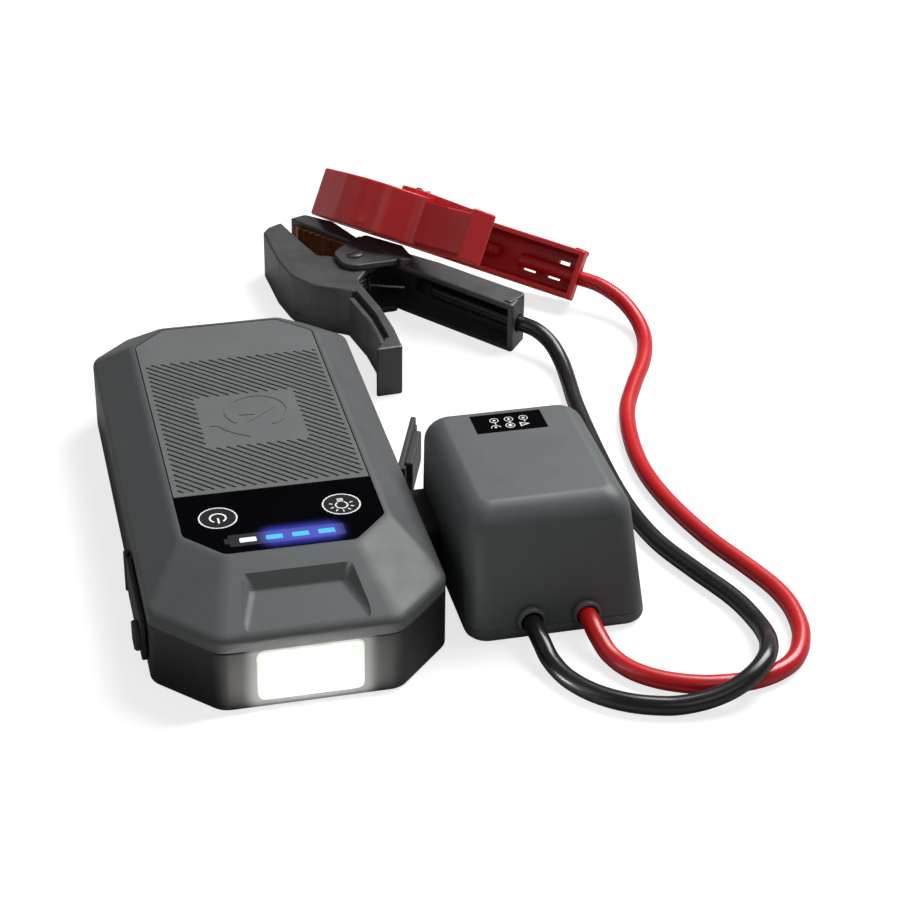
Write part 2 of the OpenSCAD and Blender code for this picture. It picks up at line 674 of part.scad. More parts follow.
module cable_handle(c) {
    top = jaw_h + ear_gap;
    color(c) difference() {
        union() {
            plate(back_wall, 0, jaw_h);
            plate(end_wall, 0, jaw_h);
            for (z = [0, jaw_h - jaw_wall]) {
                plate(cable_grip, z, z + jaw_wall);
                plate(cable_jaw, z, z + jaw_wall);
            }
            intersection() {
                at_cable_contact() contact_post(rivet_l + 6);
                plate(cable_body, 0, jaw_h);
            }
            plate(ear, 0, ear_t);
            plate(ear, top, top + ear_t);
            // step that carries the upper ear
            plate([[16.7, -7.6], [11.4, 1.6], [5.6, 17], [8, 17.3], [20, 4.9], [22, -8]],
                jaw_h - jaw_wall, top + ear_t);
        }
        disc([0, 0], pivot_r, -1, jaw_h + 10);
        // clear ground for the moving hub
        disc([0, 0], hub_r + 0.4, ear_t + eps, top);
        at_cable_contact() rivet_shank(rivet_r + 0.02);
        // way out for the cable, open towards the channel's mouth
        translate([cable_line.x, cable_line.y, mid_z]) rotate([0, 0, grip_angle])
            rotate([0, 90, 0]) cylinder(r = cable_d / 2 + 0.5, h = 20, center = true);
    }
}
// Copper strip standing between the plates: a plain foot for its rivet, then teeth
teeth = 6;
tooth_h = 1.5;
foot_l = 7;
thumb_contact_at = [-14.6, 9.4];
thumb_contact_lean = 107;
thumb_contact_l = 28;
cable_contact_at = [1.2, 20.6];
cable_contact_lean = 127;
cable_contact_l = 28;
rivet_r = 1.6;
rivet_head_r = 2.8;
rivet_head_t = 1.2;
rivet_l = 6;
module at_thumb_contact() { translate(thumb_contact_at) rotate([0, 0, thumb_contact_lean]) children(); }
module at_cable_contact() {
    translate(cable_contact_at) rotate([0, 0, cable_contact_lean]) mirror([0, 1, 0]) children();
}
// The strip runs along +X with its teeth on the -Y side
module contact(length) {
    pitch = (length - foot_l - 1) / teeth;
    profile = concat([[0, 0], [0, -contact_t]],
        [for (i = [0:teeth - 1]) each [[foot_l + i * pitch, -contact_t],
            [foot_l + (i + 0.5) * pitch, -contact_t - tooth_h]]],
        [[length - 1, -contact_t], [length, -contact_t], [length, 0]]);
    color(copper) difference() {
        plate(profile, mid_z - contact_h / 2, mid_z + contact_h / 2);
        rivet_shank(rivet_r + 0.02);
    }
}
module rivet_shank(r) {
    translate([foot_l / 2, rivet_l, mid_z]) rotate([90, 0, 0]) cylinder(r = r, h = rivet_l + contact_t);
}
module rivet() {
    color(steel) {
        rivet_shank(rivet_r);
        translate([foot_l / 2, -contact_t, mid_z]) rotate([90, 0, 0])
            cylinder(r = rivet_head_r, h = rivet_head_t);
    }
}
// Block behind the strip's foot that takes the rivet
module contact_post(depth) {
    difference() {
        block([0.4, 0.02, jaw_wall - eps], [foot_l, depth, jaw_h - jaw_wall + eps]);
        rivet_shank(rivet_r + 0.02);
    }
}
module pivot_pin() {
    head = 1.1;
    color(steel) difference() {
        union() {
            disc([0, 0], pivot_r, 0.05, jaw_h + ear_gap + ear_t);
            disc([0, 0], pivot_r + 2, jaw_h + ear_gap + ear_t, jaw_h + ear_gap + ear_t + head);
        }
        translate([0, 0, jaw_h + ear_gap + ear_t + head]) cube([12, 1.2, 1.2], center = true);
    }
}
coil_z0 = 6.4;
coil_z1 = 15.4;
module spring() {
    color(steel) {
        difference() {
            disc([0, 0], coil_r, coil_z0, coil_z1);
            disc([0, 0], coil_r - wire_d, coil_z0 - 1, coil_z1 + 1);
        }
        // two legs that leave the coil along its side and press the handles apart
        for (leg = [[-98, 21, coil_z1 - wire_d], [-20, 20, coil_z0]])
            rotate([0, 0, leg[0]]) block([0, -coil_r + 0.02, leg[2]], [leg[1], -coil_r + wire_d, leg[2] + wire_d]);
    }
}
lug_r = cable_d / 2 - 0.2;
lug_l = 7;
lug_in = 36.2;
tongue_l = 8;
lug_at = cable_line - lug_in * grip_dir;
// Crimped lug on the cable's end with a flat tongue
module cable_lug() {
    color(copper) translate([lug_at.x, lug_at.y, mid_z]) rotate([0, 0, grip_angle]) {
        rotate([0, -90, 0]) cylinder(r = lug_r, h = lug_l);
        block([-lug_l - tongue_l, -0.8, -2.5], [-lug_l + 0.5, 0.8, 2.5]);
    }
}

module black_thumb_handle() { at_black() thumb_handle("#3a3c3e"); }
module black_cable_handle() { at_black() cable_handle("#3a3c3e"); }
module black_thumb_contact() { at_black() at_thumb_contact() contact(thumb_contact_l); }
module black_cable_contact() { at_black() at_cable_contact() contact(cable_contact_l); }
module black_thumb_rivet() { at_black() at_thumb_contact() rivet(); }
module black_cable_rivet() { at_black() at_cable_contact() rivet(); }
module black_pivot_pin() { at_black() pivot_pin(); }
module black_spring() { at_black() spring(); }
module black_cable_lug() { at_black() cable_lug(); }
module red_thumb_handle() { at_red() thumb_handle(red); }
module red_cable_handle() { at_red_cable() cable_handle(red); }
module red_thumb_contact() { at_red() at_thumb_contact() contact(thumb_contact_l); }
module red_cable_contact() { at_red_cable() at_cable_contact() contact(cable_contact_l); }
module red_thumb_rivet() { at_red() at_thumb_contact() rivet(); }
module red_cable_rivet() { at_red_cable() at_cable_contact() rivet(); }
module red_pivot_pin() { at_red_cable() pivot_pin(); }
module red_spring() { at_red_cable() spring(); }
module red_cable_lug() { at_red_cable() cable_lug(); }

lower_case();
top_cover();
charging_pad();
control_panel();
gauge_windows();
gauge_leds();
power_button();
light_button();
control_board();
lamp_window();
lamp_board();
main_board();
battery_cells();
charging_coil();
coil_shield();
jump_socket();
usb_ports();
usb_port_cover();
jump_port_cover();
case_screws();
box_base();
box_cover();
box_label();
box_board();
box_relays();
bus_bars();
box_screws();
plug_housing();
plug_pins();
cable_grommets();
black_cable();
red_cable();
black_thumb_handle();
black_cable_handle();
black_thumb_contact();
black_cable_contact();
black_thumb_rivet();
black_cable_rivet();
black_pivot_pin();
black_spring();
black_cable_lug();
red_thumb_handle();
red_cable_handle();
red_thumb_contact();
red_cable_contact();
red_thumb_rivet();
red_cable_rivet();
red_pivot_pin();
red_spring();
red_cable_lug();
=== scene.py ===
"""Looks of a jump starter pack with a plug-in control box, two cables and two battery clamps."""
import math

import bmesh
import bpy
from mathutils import Matrix, Vector
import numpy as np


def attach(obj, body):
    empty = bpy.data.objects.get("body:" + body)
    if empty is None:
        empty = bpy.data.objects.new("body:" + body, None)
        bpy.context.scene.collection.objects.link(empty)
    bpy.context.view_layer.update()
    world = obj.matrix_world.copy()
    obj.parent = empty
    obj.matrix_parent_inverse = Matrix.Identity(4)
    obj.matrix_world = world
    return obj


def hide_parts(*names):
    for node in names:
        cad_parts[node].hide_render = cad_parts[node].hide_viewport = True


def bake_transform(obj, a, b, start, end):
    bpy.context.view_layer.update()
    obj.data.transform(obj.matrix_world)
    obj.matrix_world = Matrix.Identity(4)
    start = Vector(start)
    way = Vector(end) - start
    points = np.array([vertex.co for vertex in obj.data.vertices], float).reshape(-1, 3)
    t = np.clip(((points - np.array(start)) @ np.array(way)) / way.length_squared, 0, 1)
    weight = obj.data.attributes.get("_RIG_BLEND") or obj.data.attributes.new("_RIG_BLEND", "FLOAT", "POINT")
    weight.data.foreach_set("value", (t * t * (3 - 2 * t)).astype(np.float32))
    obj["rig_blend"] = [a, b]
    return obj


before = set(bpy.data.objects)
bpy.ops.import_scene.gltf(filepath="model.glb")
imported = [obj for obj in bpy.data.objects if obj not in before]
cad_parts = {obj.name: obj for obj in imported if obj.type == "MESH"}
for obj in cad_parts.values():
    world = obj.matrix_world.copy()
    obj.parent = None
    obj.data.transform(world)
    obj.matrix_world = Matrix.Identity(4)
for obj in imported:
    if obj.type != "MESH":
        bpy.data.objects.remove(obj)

bl_info = {
    "name": "Jump starter pack",
    "version": (1, 0, 0),
    "blender": (4, 5, 0),
    "location": "View3D > Sidebar > Jump starter",
    "description": "Builds the shells, controls, control box, clamps and cables of a jump starter pack",
    "category": "Object",
}

MM = 0.001


def move(x, y, z):
    return Matrix.Translation((x, y, z))


def turn(degrees, axis):
    return Matrix.Rotation(math.radians(degrees), 4, axis)


def polar(degrees, r, x=0.0, y=0.0):
    a = math.radians(degrees)
    return (x + r * math.cos(a), y + r * math.sin(a))


def rect(x0, y0, x1, y1):
    return [(x0, y0), (x1, y0), (x1, y1), (x0, y1)]


def level(outline, z):
    return [(x, y, z) for x, y in outline]


# ---- sizes of the packed part, in millimetres ----
HALF_W, HALF_L = 46.0, 97.8
LOWER_H, RIM_Z, TOP_Z = 21.0, 25.8, 35.6
TOP_HALF_W, TOP_FRONT, TOP_REAR = 33.2, -68.0, 85.0
PANEL_REAR, BUTTON_Y, GAUGE_Y = -31.0, -45.6, -59.6
BUTTON_X, BUTTON_R = 19.5, 6.3
GAUGE_X = [(i - 1.5) * 8.15 for i in range(4)]
WALL, INLAY = 2.2, 1.5
LAMP_Z, LAMP_W, LAMP_H = 11.7, 32.5, 17.8
SOCKET_Y, SOCKET_Z, PIN_APART = -28.0, 13.0, 12.0
BOX_X, BOX_Y, BOX_W, BOX_L, BOX_H = 82.0, -45.2, 59.0, 72.0, 45.0
BOX_CORNER = 7.0
BOX_PARTING, BOX_LEAN, BOX_PLUG_LEAN, BOX_END_LEAN = 4.6, 5.5, 0.5, 3.7
LABEL_X, LABEL_HALF_W, LABEL_FRONT, LABEL_REAR = 79.5, 11.75, -28.1, -16.6
CASE_BOSSES = [(sx * 39.5, y) for sx in (-1, 1) for y in (-74.0, 4.0, 82.0)]
BOX_BOSSES = [(BOX_X + sx * 18, BOX_Y + dy) for sx in (-1, 1) for dy in (-29.5, 31)]
GROMMET_Z, GROMMET_Y = 7.5, -82.37
EXIT_X = {"black": 72.5, "red": 90.5}
BLACK_ROUTE = [
    (72.5, -80.4, 7.5), (72.5, -85, 7.5), (72.9, -91, 6.5), (74, -98, 4.2), (77, -107, 3.1),
    (83, -116, 3), (92, -123, 3), (103, -127, 3), (113, -128, 4), (122, -127, 5.8), (130, -124, 8.2),
    (136, -118.5, 9.4), (140, -110.5, 8), (142.8, -101, 5), (143.5, -91, 3.2), (141, -77, 3),
    (134, -59, 3), (127.5, -41, 3), (124.5, -24, 3), (123.5, -6, 3), (123.8, 14, 3), (125, 38, 3),
    (126.5, 58, 3), (128.4, 74, 3.4), (129, 86, 5), (127.5, 96, 7.6), (123.8, 103.5, 9.6),
    (118.5, 110, 10), (111, 120, 10), (103.5, 130, 10), (97, 138.6, 10)]
RED_ROUTE = [
    (90.5, -80.4, 7.5), (90.5, -85, 7.5), (91, -91, 6), (93, -99, 3.6), (98, -108, 3),
    (106.5, -115, 3), (119, -119.5, 3), (134.5, -119.6, 3), (147, -113.5, 3), (154.6, -101, 3),
    (157, -87, 3), (156, -75, 3), (152, -62, 3), (144.6, -42, 3), (138.8, -18, 3), (136.6, 4, 3),
    (138.4, 26, 3), (143.6, 48, 3), (152.1, 66.6, 3), (160.2, 82.1, 3), (165.5, 96.2, 3), (167.2, 107, 4.2),
    (166.2, 117, 6.5), (163.1, 125.7, 8.8), (157.8, 133.3, 10.7), (151.1, 139.4, 11.6), (142.6, 147.6, 12.4),
    (132.4, 157.3, 13.2)]
JAW_H, JAW_WALL = 20.0, 2.0
BLACK_PLACE = move(64, 156, 0)
RED_PLACE = move(88.1, 174, 16.15) @ turn(-0.3, "Z") @ turn(25.3, "Y") @ turn(-20.4, "X")
RED_CABLE_PLACE = RED_PLACE @ turn(6, "Z")


# ---- helpers for building meshes, all in millimetres until settle() ----
def link(obj):
    bpy.context.scene.collection.objects.link(obj)
    return obj


def mesh_object(name, verts, faces, edges=()):
    mesh = bpy.data.meshes.new(name)
    mesh.from_pydata([tuple(v) for v in verts], list(edges), faces)
    mesh.validate()
    return link(bpy.data.objects.new(name, mesh))


def clean(obj, distance=0.002):
    """Merges doubles, drops slivers and turns the faces outward."""
    bm = bmesh.new()
    bm.from_mesh(obj.data)
    bmesh.ops.remove_doubles(bm, verts=bm.verts, dist=distance)
    bmesh.ops.dissolve_degenerate(bm, dist=distance / 2, edges=bm.edges)
    bmesh.ops.recalc_face_normals(bm, faces=bm.faces)
    bm.to_mesh(obj.data)
    bm.free()
    return obj


def baked(obj):
    """The object with its modifiers applied."""
    deps = bpy.context.evaluated_depsgraph_get()
    deps.update()
    mesh = bpy.data.meshes.new_from_object(obj.evaluated_get(deps))
    mesh.name = obj.name
    if obj.type == "MESH":
        obj.modifiers.clear()
        obj.data = mesh
        return obj
    made = link(bpy.data.objects.new(obj.name + "_m", mesh))
    made.matrix_world = obj.matrix_world.copy()
    bpy.data.objects.remove(obj)
    return made


def drop(*objs):
    for obj in objs:
        bpy.data.objects.remove(obj)


def rounded(points, radius, steps=5):
    """Outline with each corner turned into a soft arc; radius is one number or one per corner."""
    out, n = [], len(points)
    for i, point in enumerate(points):
        r = radius[i] if isinstance(radius, (list, tuple)) else radius
        p = Vector(point[:2])
        a, b = Vector(points[i - 1][:2]) - p, Vector(points[(i + 1) % n][:2]) - p
        if r <= 0:
            out.append(tuple(p))
            continue
        half = a.angle(b) / 2
        t = min(r / max(math.tan(half), 1e-3), 0.46 * a.length, 0.46 * b.length)
        start, end = p + a.normalized() * t, p + b.normalized() * t
        for k in range(steps + 1):
            s = k / steps
            out.append(tuple(start * (1 - s) ** 2 + p * 2 * s * (1 - s) + end * s * s))
    return out


def plate(name, outlines, z0, z1, edge=0.0, place=None, edge_steps=2):
    """Flat piece from z0 to z1: the first outline is its rim, the others are holes; edge rounds its rims."""
    curve = bpy.data.curves.new(name, "CURVE")
    curve.dimensions = "2D"
    curve.fill_mode = "BOTH"
    for points in outlines:
        spline = curve.splines.new("POLY")
        spline.points.add(len(points) - 1)
        for sp, point in zip(spline.points, points):
            sp.co = (point[0], point[1], 0, 1)
        spline.use_cyclic_u = True
    curve.extrude = (z1 - z0) / 2 - edge
    curve.bevel_depth = edge
    curve.bevel_resolution = edge_steps
    curve.offset = -edge
    obj = baked(link(bpy.data.objects.new(name, curve)))
    obj.data.transform(move(0, 0, (z0 + z1) / 2))
    clean(obj)
    if place is not None:
        obj.data.transform(place)
    return obj


def stack(name, rings):
    """Closed body through rings that all have the same number of points."""
    n, verts, faces = len(rings[0]), [p for ring in rings for p in ring], []
    for i in range(len(rings) - 1):
        for k in range(n):
            a, b = i * n + k, i * n + (k + 1) % n
            faces.append((a, b, b + n, a + n))
    faces.append(tuple(range(n))[::-1])
    faces.append(tuple((len(rings) - 1) * n + k for k in range(n)))
    return clean(mesh_object(name, verts, faces))


def turned(name, profile, steps=40, place=None):
    """Body of revolution about Z from (radius, z) pairs, closed on the axis or as a ring."""
    n = len(profile)
    verts = [(r * math.cos(math.tau * k / steps), r * math.sin(math.tau * k / steps), z)
             for k in range(steps) for r, z in profile]
    faces = [(k * n + i, k * n + (i + 1) % n, ((k + 1) % steps) * n + (i + 1) % n, ((k + 1) % steps) * n + i)
             for k in range(steps) for i in range(n)]
    obj = clean(mesh_object(name, verts, faces))
    if place is not None:
        obj.data.transform(place)
    return obj


def disc(r, z0, z1, steps=48, place=None):
    return turned("disc", [(0, z0), (r, z0), (r, z1), (0, z1)], steps, place)


def wrapped(name, points):
    """Smallest convex body round the points."""
    obj = mesh_object(name, points, [])
    bm = bmesh.new()
    bm.from_mesh(obj.data)
    made = bmesh.ops.convex_hull(bm, input=bm.verts)
    bmesh.ops.delete(bm, geom=[g for g in made["geom_interior"] if isinstance(g, bmesh.types.BMVert)],
                     context="VERTS")
    bm.to_mesh(obj.data)
    bm.free()
    return obj


def brick(name, low, high, edge=0.0, steps=2):
    """Box between two corners with rounded edges."""
    xs, ys, zs = zip(low, high)
    obj = mesh_object(name, [(x, y, z) for x in xs for y in ys for z in zs],
                      [(0, 1, 3, 2), (4, 6, 7, 5), (0, 4, 5, 1), (2, 3, 7, 6), (0, 2, 6, 4), (1, 5, 7, 3)])
    clean(obj)
    if edge:
        soften(obj, edge, steps, 30)
    return obj


def soften(obj, width, steps=2, angle=35):
    """Rounds the sharp edges."""
    mod = obj.modifiers.new("edge", "BEVEL")
    mod.width = width
    mod.segments = steps
    mod.limit_method = "ANGLE"
    mod.angle_limit = math.radians(angle)
    mod.use_clamp_overlap = True
    baked(obj)
    return clean(obj, 0.0015)


def merged(name, objs):
    """One mesh out of several objects, kept as separate shells."""
    bm = bmesh.new()
    for obj in objs:
        bm.from_mesh(obj.data)
    mesh = bpy.data.meshes.new(name)
    bm.to_mesh(mesh)
    bm.free()
    drop(*objs)
    return link(bpy.data.objects.new(name, mesh))


def cut(obj, *cutters, union=False):
    """Takes the cutters out of obj, or adds them to it."""
    for cutter in cutters:
        mod = obj.modifiers.new("cut", "BOOLEAN")
        mod.operation = "UNION" if union else "DIFFERENCE"
        mod.solver = "EXACT"
        mod.object = cutter
        baked(obj)
        drop(cutter)
    return clean(obj)


def add(obj, *others):
    return cut(obj, *others, union=True)


def copied(obj, name):
    return link(bpy.data.objects.new(name, obj.data.copy()))


def placed(obj, place):
    obj.data.transform(place)
    return obj


def cad_copy(name, node, width, steps=2, angle=30):
    """Copy of a packed piece, in millimetres, with its flats joined up and its edges rounded."""
    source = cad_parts[node]
    obj = link(bpy.data.objects.new(name, source.data.copy()))
    obj.data.transform(Matrix.Scale(1 / MM, 4) @ source.matrix_world)
    for attribute in [a.name for a in obj.data.attributes if not a.is_internal and a.name.startswith("_")]:
        obj.data.attributes.remove(obj.data.attributes[attribute])
    bm = bmesh.new()
    bm.from_mesh(obj.data)
    bmesh.ops.remove_doubles(bm, verts=bm.verts, dist=0.002)
    bmesh.ops.dissolve_limit(bm, angle_limit=math.radians(0.5), verts=bm.verts, edges=bm.edges)
    bm.to_mesh(obj.data)
    bm.free()
    return soften(obj, width, steps, angle) if width else clean(obj)


def settle(obj, body, finish, nodes=(), smooth=32):
    """Takes the finished piece to metres, gives it its finish and lets it ride on its body."""
    obj.data.transform(Matrix.Scale(MM, 4))
    obj.data.materials.clear()
    for key in [finish] if isinstance(finish, str) else finish:
        obj.data.materials.append(mats()[key])
    obj.data.shade_smooth()
    obj.data.set_sharp_from_angle(angle=math.radians(smooth))
    flats = obj.modifiers.new("flats", "WEIGHTED_NORMAL")
    flats.keep_sharp = True
    baked(obj)
    if body:
        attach(obj, body)
    if nodes:
        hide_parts(*nodes)
    return obj


# ---- geometry node trees ----
def node_tree(name, inputs):
    tree = bpy.data.node_groups.new(name, "GeometryNodeTree")
    tree.interface.new_socket("Geometry", in_out="INPUT", socket_type="NodeSocketGeometry")
    for label, kind, default in inputs:
        socket = tree.interface.new_socket(label, in_out="INPUT", socket_type=kind)
        if default is not None:
            socket.default_value = default
    tree.interface.new_socket("Geometry", in_out="OUTPUT", socket_type="NodeSocketGeometry")
    return tree, tree.nodes.new("NodeGroupInput"), tree.nodes.new("NodeGroupOutput")


def wire_tree():
    """Sweeps a round wire along the edges of the incoming path."""
    if "swept_wire" in bpy.data.node_groups:
        return bpy.data.node_groups["swept_wire"]
    tree, first, last = node_tree("swept_wire", [
        ("Wire radius", "NodeSocketFloat", 0.8), ("Sides", "NodeSocketInt", 12),
        ("Wire material", "NodeSocketMaterial", None)])
    add_node, join = tree.nodes.new, tree.links.new
    path, ring, sweep = (add_node(k) for k in ("GeometryNodeMeshToCurve", "GeometryNodeCurvePrimitiveCircle",
                                               "GeometryNodeCurveToMesh"))
    real, paint = add_node("GeometryNodeRealizeInstances"), add_node("GeometryNodeSetMaterial")
    join(first.outputs["Geometry"], path.inputs["Mesh"])
    join(first.outputs["Wire radius"], ring.inputs["Radius"])
    join(first.outputs["Sides"], ring.inputs["Resolution"])
    join(path.outputs["Curve"], sweep.inputs["Curve"])
    join(ring.outputs["Curve"], sweep.inputs["Profile Curve"])
    sweep.inputs["Fill Caps"].default_value = True
    join(sweep.outputs["Mesh"], real.inputs["Geometry"])
    join(real.outputs["Geometry"], paint.inputs["Geometry"])
    join(first.outputs["Wire material"], paint.inputs["Material"])
    join(paint.outputs["Geometry"], last.inputs["Geometry"])
    return tree


def repeat_tree():
    """Sets one piece out on every incoming point."""
    if "set_out_pieces" in bpy.data.node_groups:
        return bpy.data.node_groups["set_out_pieces"]
    tree, first, last = node_tree("set_out_pieces", [
        ("Piece", "NodeSocketObject", None), ("Piece material", "NodeSocketMaterial", None)])
    add_node, join = tree.nodes.new, tree.links.new
    points, piece = add_node("GeometryNodeMeshToPoints"), add_node("GeometryNodeObjectInfo")
    spread, real = add_node("GeometryNodeInstanceOnPoints"), add_node("GeometryNodeRealizeInstances")
    paint = add_node("GeometryNodeSetMaterial")
    join(first.outputs["Geometry"], points.inputs["Mesh"])
    join(first.outputs["Piece"], piece.inputs["Object"])
    join(points.outputs["Points"], spread.inputs["Points"])
    join(piece.outputs["Geometry"], spread.inputs["Instance"])
    join(spread.outputs["Instances"], real.inputs["Geometry"])
    join(real.outputs["Geometry"], paint.inputs["Geometry"])
    join(first.outputs["Piece material"], paint.inputs["Material"])
    join(paint.outputs["Geometry"], last.inputs["Geometry"])
    return tree


def with_nodes(obj, tree, **values):
    """Runs a node tree on obj and keeps the mesh it makes."""
    mod = obj.modifiers.new(tree.name, "NODES")
    mod.node_group = tree
    for item in tree.interface.items_tree:
        if item.in_out == "INPUT" and item.name in values:
            mod[item.identifier] = values[item.name]
    return clean(baked(obj))


def wire(name, points, radius, finish, sides):
    path = mesh_object(name, points, [], [(i, i + 1) for i in range(len(points) - 1)])
    return with_nodes(path, wire_tree(), **{"Wire radius": radius, "Sides": sides,
                                            "Wire material": mats()[finish]})


def set_out(name, piece, points, finish):
    """Copies of piece on the points; the pattern piece is dropped afterwards."""
    obj = with_nodes(mesh_object(name, points, []), repeat_tree(),
                     **{"Piece": piece, "Piece material": mats()[finish]})
    drop(piece)
    return obj


# ---- materials ----
def new_material(name):
    mat = bpy.data.materials.new(name)
    mat.use_nodes = True
    tree = mat.node_tree
    tree.nodes.clear()
    out, shader = tree.nodes.new("ShaderNodeOutputMaterial"), tree.nodes.new("ShaderNodeBsdfPrincipled")
    tree.links.new(shader.outputs[0], out.inputs[0])
    coords = tree.nodes.new("ShaderNodeTexCoord")
    return mat, tree, shader, coords


def vector_math(tree, operation, source, second=None):
    node = tree.nodes.new("ShaderNodeVectorMath")
    node.operation = operation
    if second is not None:
        node.inputs[1].default_value = second
    tree.links.new(source, node.inputs[0])
    return node


def scaled(tree, source, factor, operation="MULTIPLY"):
    node = tree.nodes.new("ShaderNodeMath")
    node.operation = operation
    node.inputs[1].default_value = factor
    tree.links.new(source, node.inputs[0])
    return node.outputs[0]


def noise(tree, coords, size_mm, detail=3.0, rough=0.55, stretch=(1, 1, 1)):
    node = tree.nodes.new("ShaderNodeTexNoise")
    stretched = vector_math(tree, "MULTIPLY", coords.outputs["Object"], stretch)
    tree.links.new(stretched.outputs[0], node.inputs["Vector"])
    node.inputs["Scale"].default_value = 1 / (size_mm * MM)
    node.inputs["Detail"].default_value = detail
    node.inputs["Roughness"].default_value = rough
    return node.outputs["Fac"]


def spread(tree, value, low, high, start=0.3, end=0.7):
    node = tree.nodes.new("ShaderNodeMapRange")
    for key, number in (("From Min", start), ("From Max", end), ("To Min", low), ("To Max", high)):
        node.inputs[key].default_value = number
    tree.links.new(value, node.inputs["Value"])
    return node.outputs[0]


def mixed(tree, value, first, second):
    node = tree.nodes.new("ShaderNodeMix")
    node.data_type = "RGBA"
    for socket, colour in ((node.inputs["A"], first), (node.inputs["B"], second)):
        if isinstance(colour, bpy.types.NodeSocket):
            tree.links.new(colour, socket)
        else:
            socket.default_value = (*colour[:3], 1)
    tree.links.new(value, node.inputs["Factor"])
    return node.outputs["Result"]


def bumped(tree, shader, heights):
    """Chains bump nodes: (height socket, strength, depth in mm) each."""
    last = None
    for height, strength, depth in heights:
        node = tree.nodes.new("ShaderNodeBump")
        node.inputs["Strength"].default_value = strength
        node.inputs["Distance"].default_value = depth * MM
        tree.links.new(height, node.inputs["Height"])
        if last:
            tree.links.new(last, node.inputs["Normal"])
        last = node.outputs[0]
    tree.links.new(last, shader.inputs["Normal"])


def moulded(name, colour, rough, grain=0.35, grain_depth=0.02, patch=18.0, patch_amount=0.08, sheen=0.0,
            spec=0.5):
    """Moulded plastic or rubber: fine grain, cloudy tone and slightly uneven gloss."""
    mat, tree, shader, coords = new_material(name)
    cloud = noise(tree, coords, patch, 4)
    dark = [c * (1 - patch_amount) for c in colour]
    light = [min(1, c * (1 + patch_amount)) for c in colour]
    speck = noise(tree, coords, grain * 2.2, 2)
    tone = mixed(tree, spread(tree, cloud, 0, 1), dark, light)
    tree.links.new(mixed(tree, spread(tree, speck, 0, 0.35), tone, [c * 0.8 for c in colour]),
                   shader.inputs["Base Color"])
    tree.links.new(spread(tree, noise(tree, coords, patch * 0.5, 5), rough - 0.05, rough + 0.06),
                   shader.inputs["Roughness"])
    shader.inputs["Specular IOR Level"].default_value = spec
    shader.inputs["Sheen Weight"].default_value = sheen
    bumped(tree, shader, [(noise(tree, coords, grain, 2), 0.45, grain_depth),
                          (noise(tree, coords, patch * 0.7, 2), 0.2, 0.05)])
    return mat


def metal(name, colour, rough, second, grain=0.5, stretch=(1, 1, 1), depth=0.02):
    """Bare or plated metal with drawn or stamped grain and a few duller patches."""
    mat, tree, shader, coords = new_material(name)
    patches = noise(tree, coords, 4.0, 5, 0.6)
    tree.links.new(mixed(tree, spread(tree, patches, 0, 0.5, 0.45, 0.75), colour, second),
                   shader.inputs["Base Color"])
    shader.inputs["Metallic"].default_value = 1.0
    tree.links.new(spread(tree, noise(tree, coords, 2.5, 4, 0.6, stretch), rough - 0.06, rough + 0.12),
                   shader.inputs["Roughness"])
    bumped(tree, shader, [(noise(tree, coords, grain, 3, 0.6, stretch), 0.5, depth)])
    return mat


def nearness(tree, coords, centre, half, reach_mm):
    """1 inside a box in space, fading to 0 at reach_mm from it: for light that spills round a lit window."""
    offset = vector_math(tree, "SUBTRACT", coords.outputs["Object"], [c * MM for c in centre])
    size = vector_math(tree, "ABSOLUTE", offset.outputs[0])
    past = vector_math(tree, "SUBTRACT", size.outputs[0], [h * MM for h in half])
    outside = vector_math(tree, "MAXIMUM", past.outputs[0])
    length = vector_math(tree, "LENGTH", outside.outputs[0])
    fade = tree.nodes.new("ShaderNodeMapRange")
    fade.interpolation_type = "SMOOTHERSTEP"
    for key, number in (("From Min", 0), ("From Max", reach_mm * MM), ("To Min", 1), ("To Max", 0)):
        fade.inputs[key].default_value = number
    tree.links.new(length.outputs["Value"], fade.inputs["Value"])
    return scaled(tree, fade.outputs[0], 1.8, "POWER")


def painted_spill(mat, colour, strength, centre, half, reach_mm):
    """Adds the soft light that a lit window throws on the surface round it."""
    tree = mat.node_tree
    shader = next(n for n in tree.nodes if n.type == "BSDF_PRINCIPLED")
    coords = next(n for n in tree.nodes if n.type == "TEX_COORD")
    amount = scaled(tree, nearness(tree, coords, centre, half, reach_mm), strength)
    tree.links.new(amount, shader.inputs["Emission Strength"])
    shader.inputs["Emission Color"].default_value = (*colour, 1)


def lit(name, colour, strength, size_mm=6.0, rough=0.25):
    """Lit light guide or lens: brighter and dimmer zones under a smooth face."""
    mat, tree, shader, coords = new_material(name)
    zones = noise(tree, coords, size_mm, 2)
    glow = mixed(tree, spread(tree, zones, 0, 1), [c * 0.9 for c in colour], colour)
    shader.inputs["Base Color"].default_value = (*[c * 0.15 for c in colour], 1)
    tree.links.new(glow, shader.inputs["Emission Color"])
    tree.links.new(spread(tree, zones, strength * 0.94, strength * 1.05), shader.inputs["Emission Strength"])
    tree.links.new(spread(tree, noise(tree, coords, size_mm / 3, 3), rough - 0.05, rough + 0.05),
                   shader.inputs["Roughness"])
    bumped(tree, shader, [(noise(tree, coords, 0.9, 2), 0.15, 0.02)])
    return mat


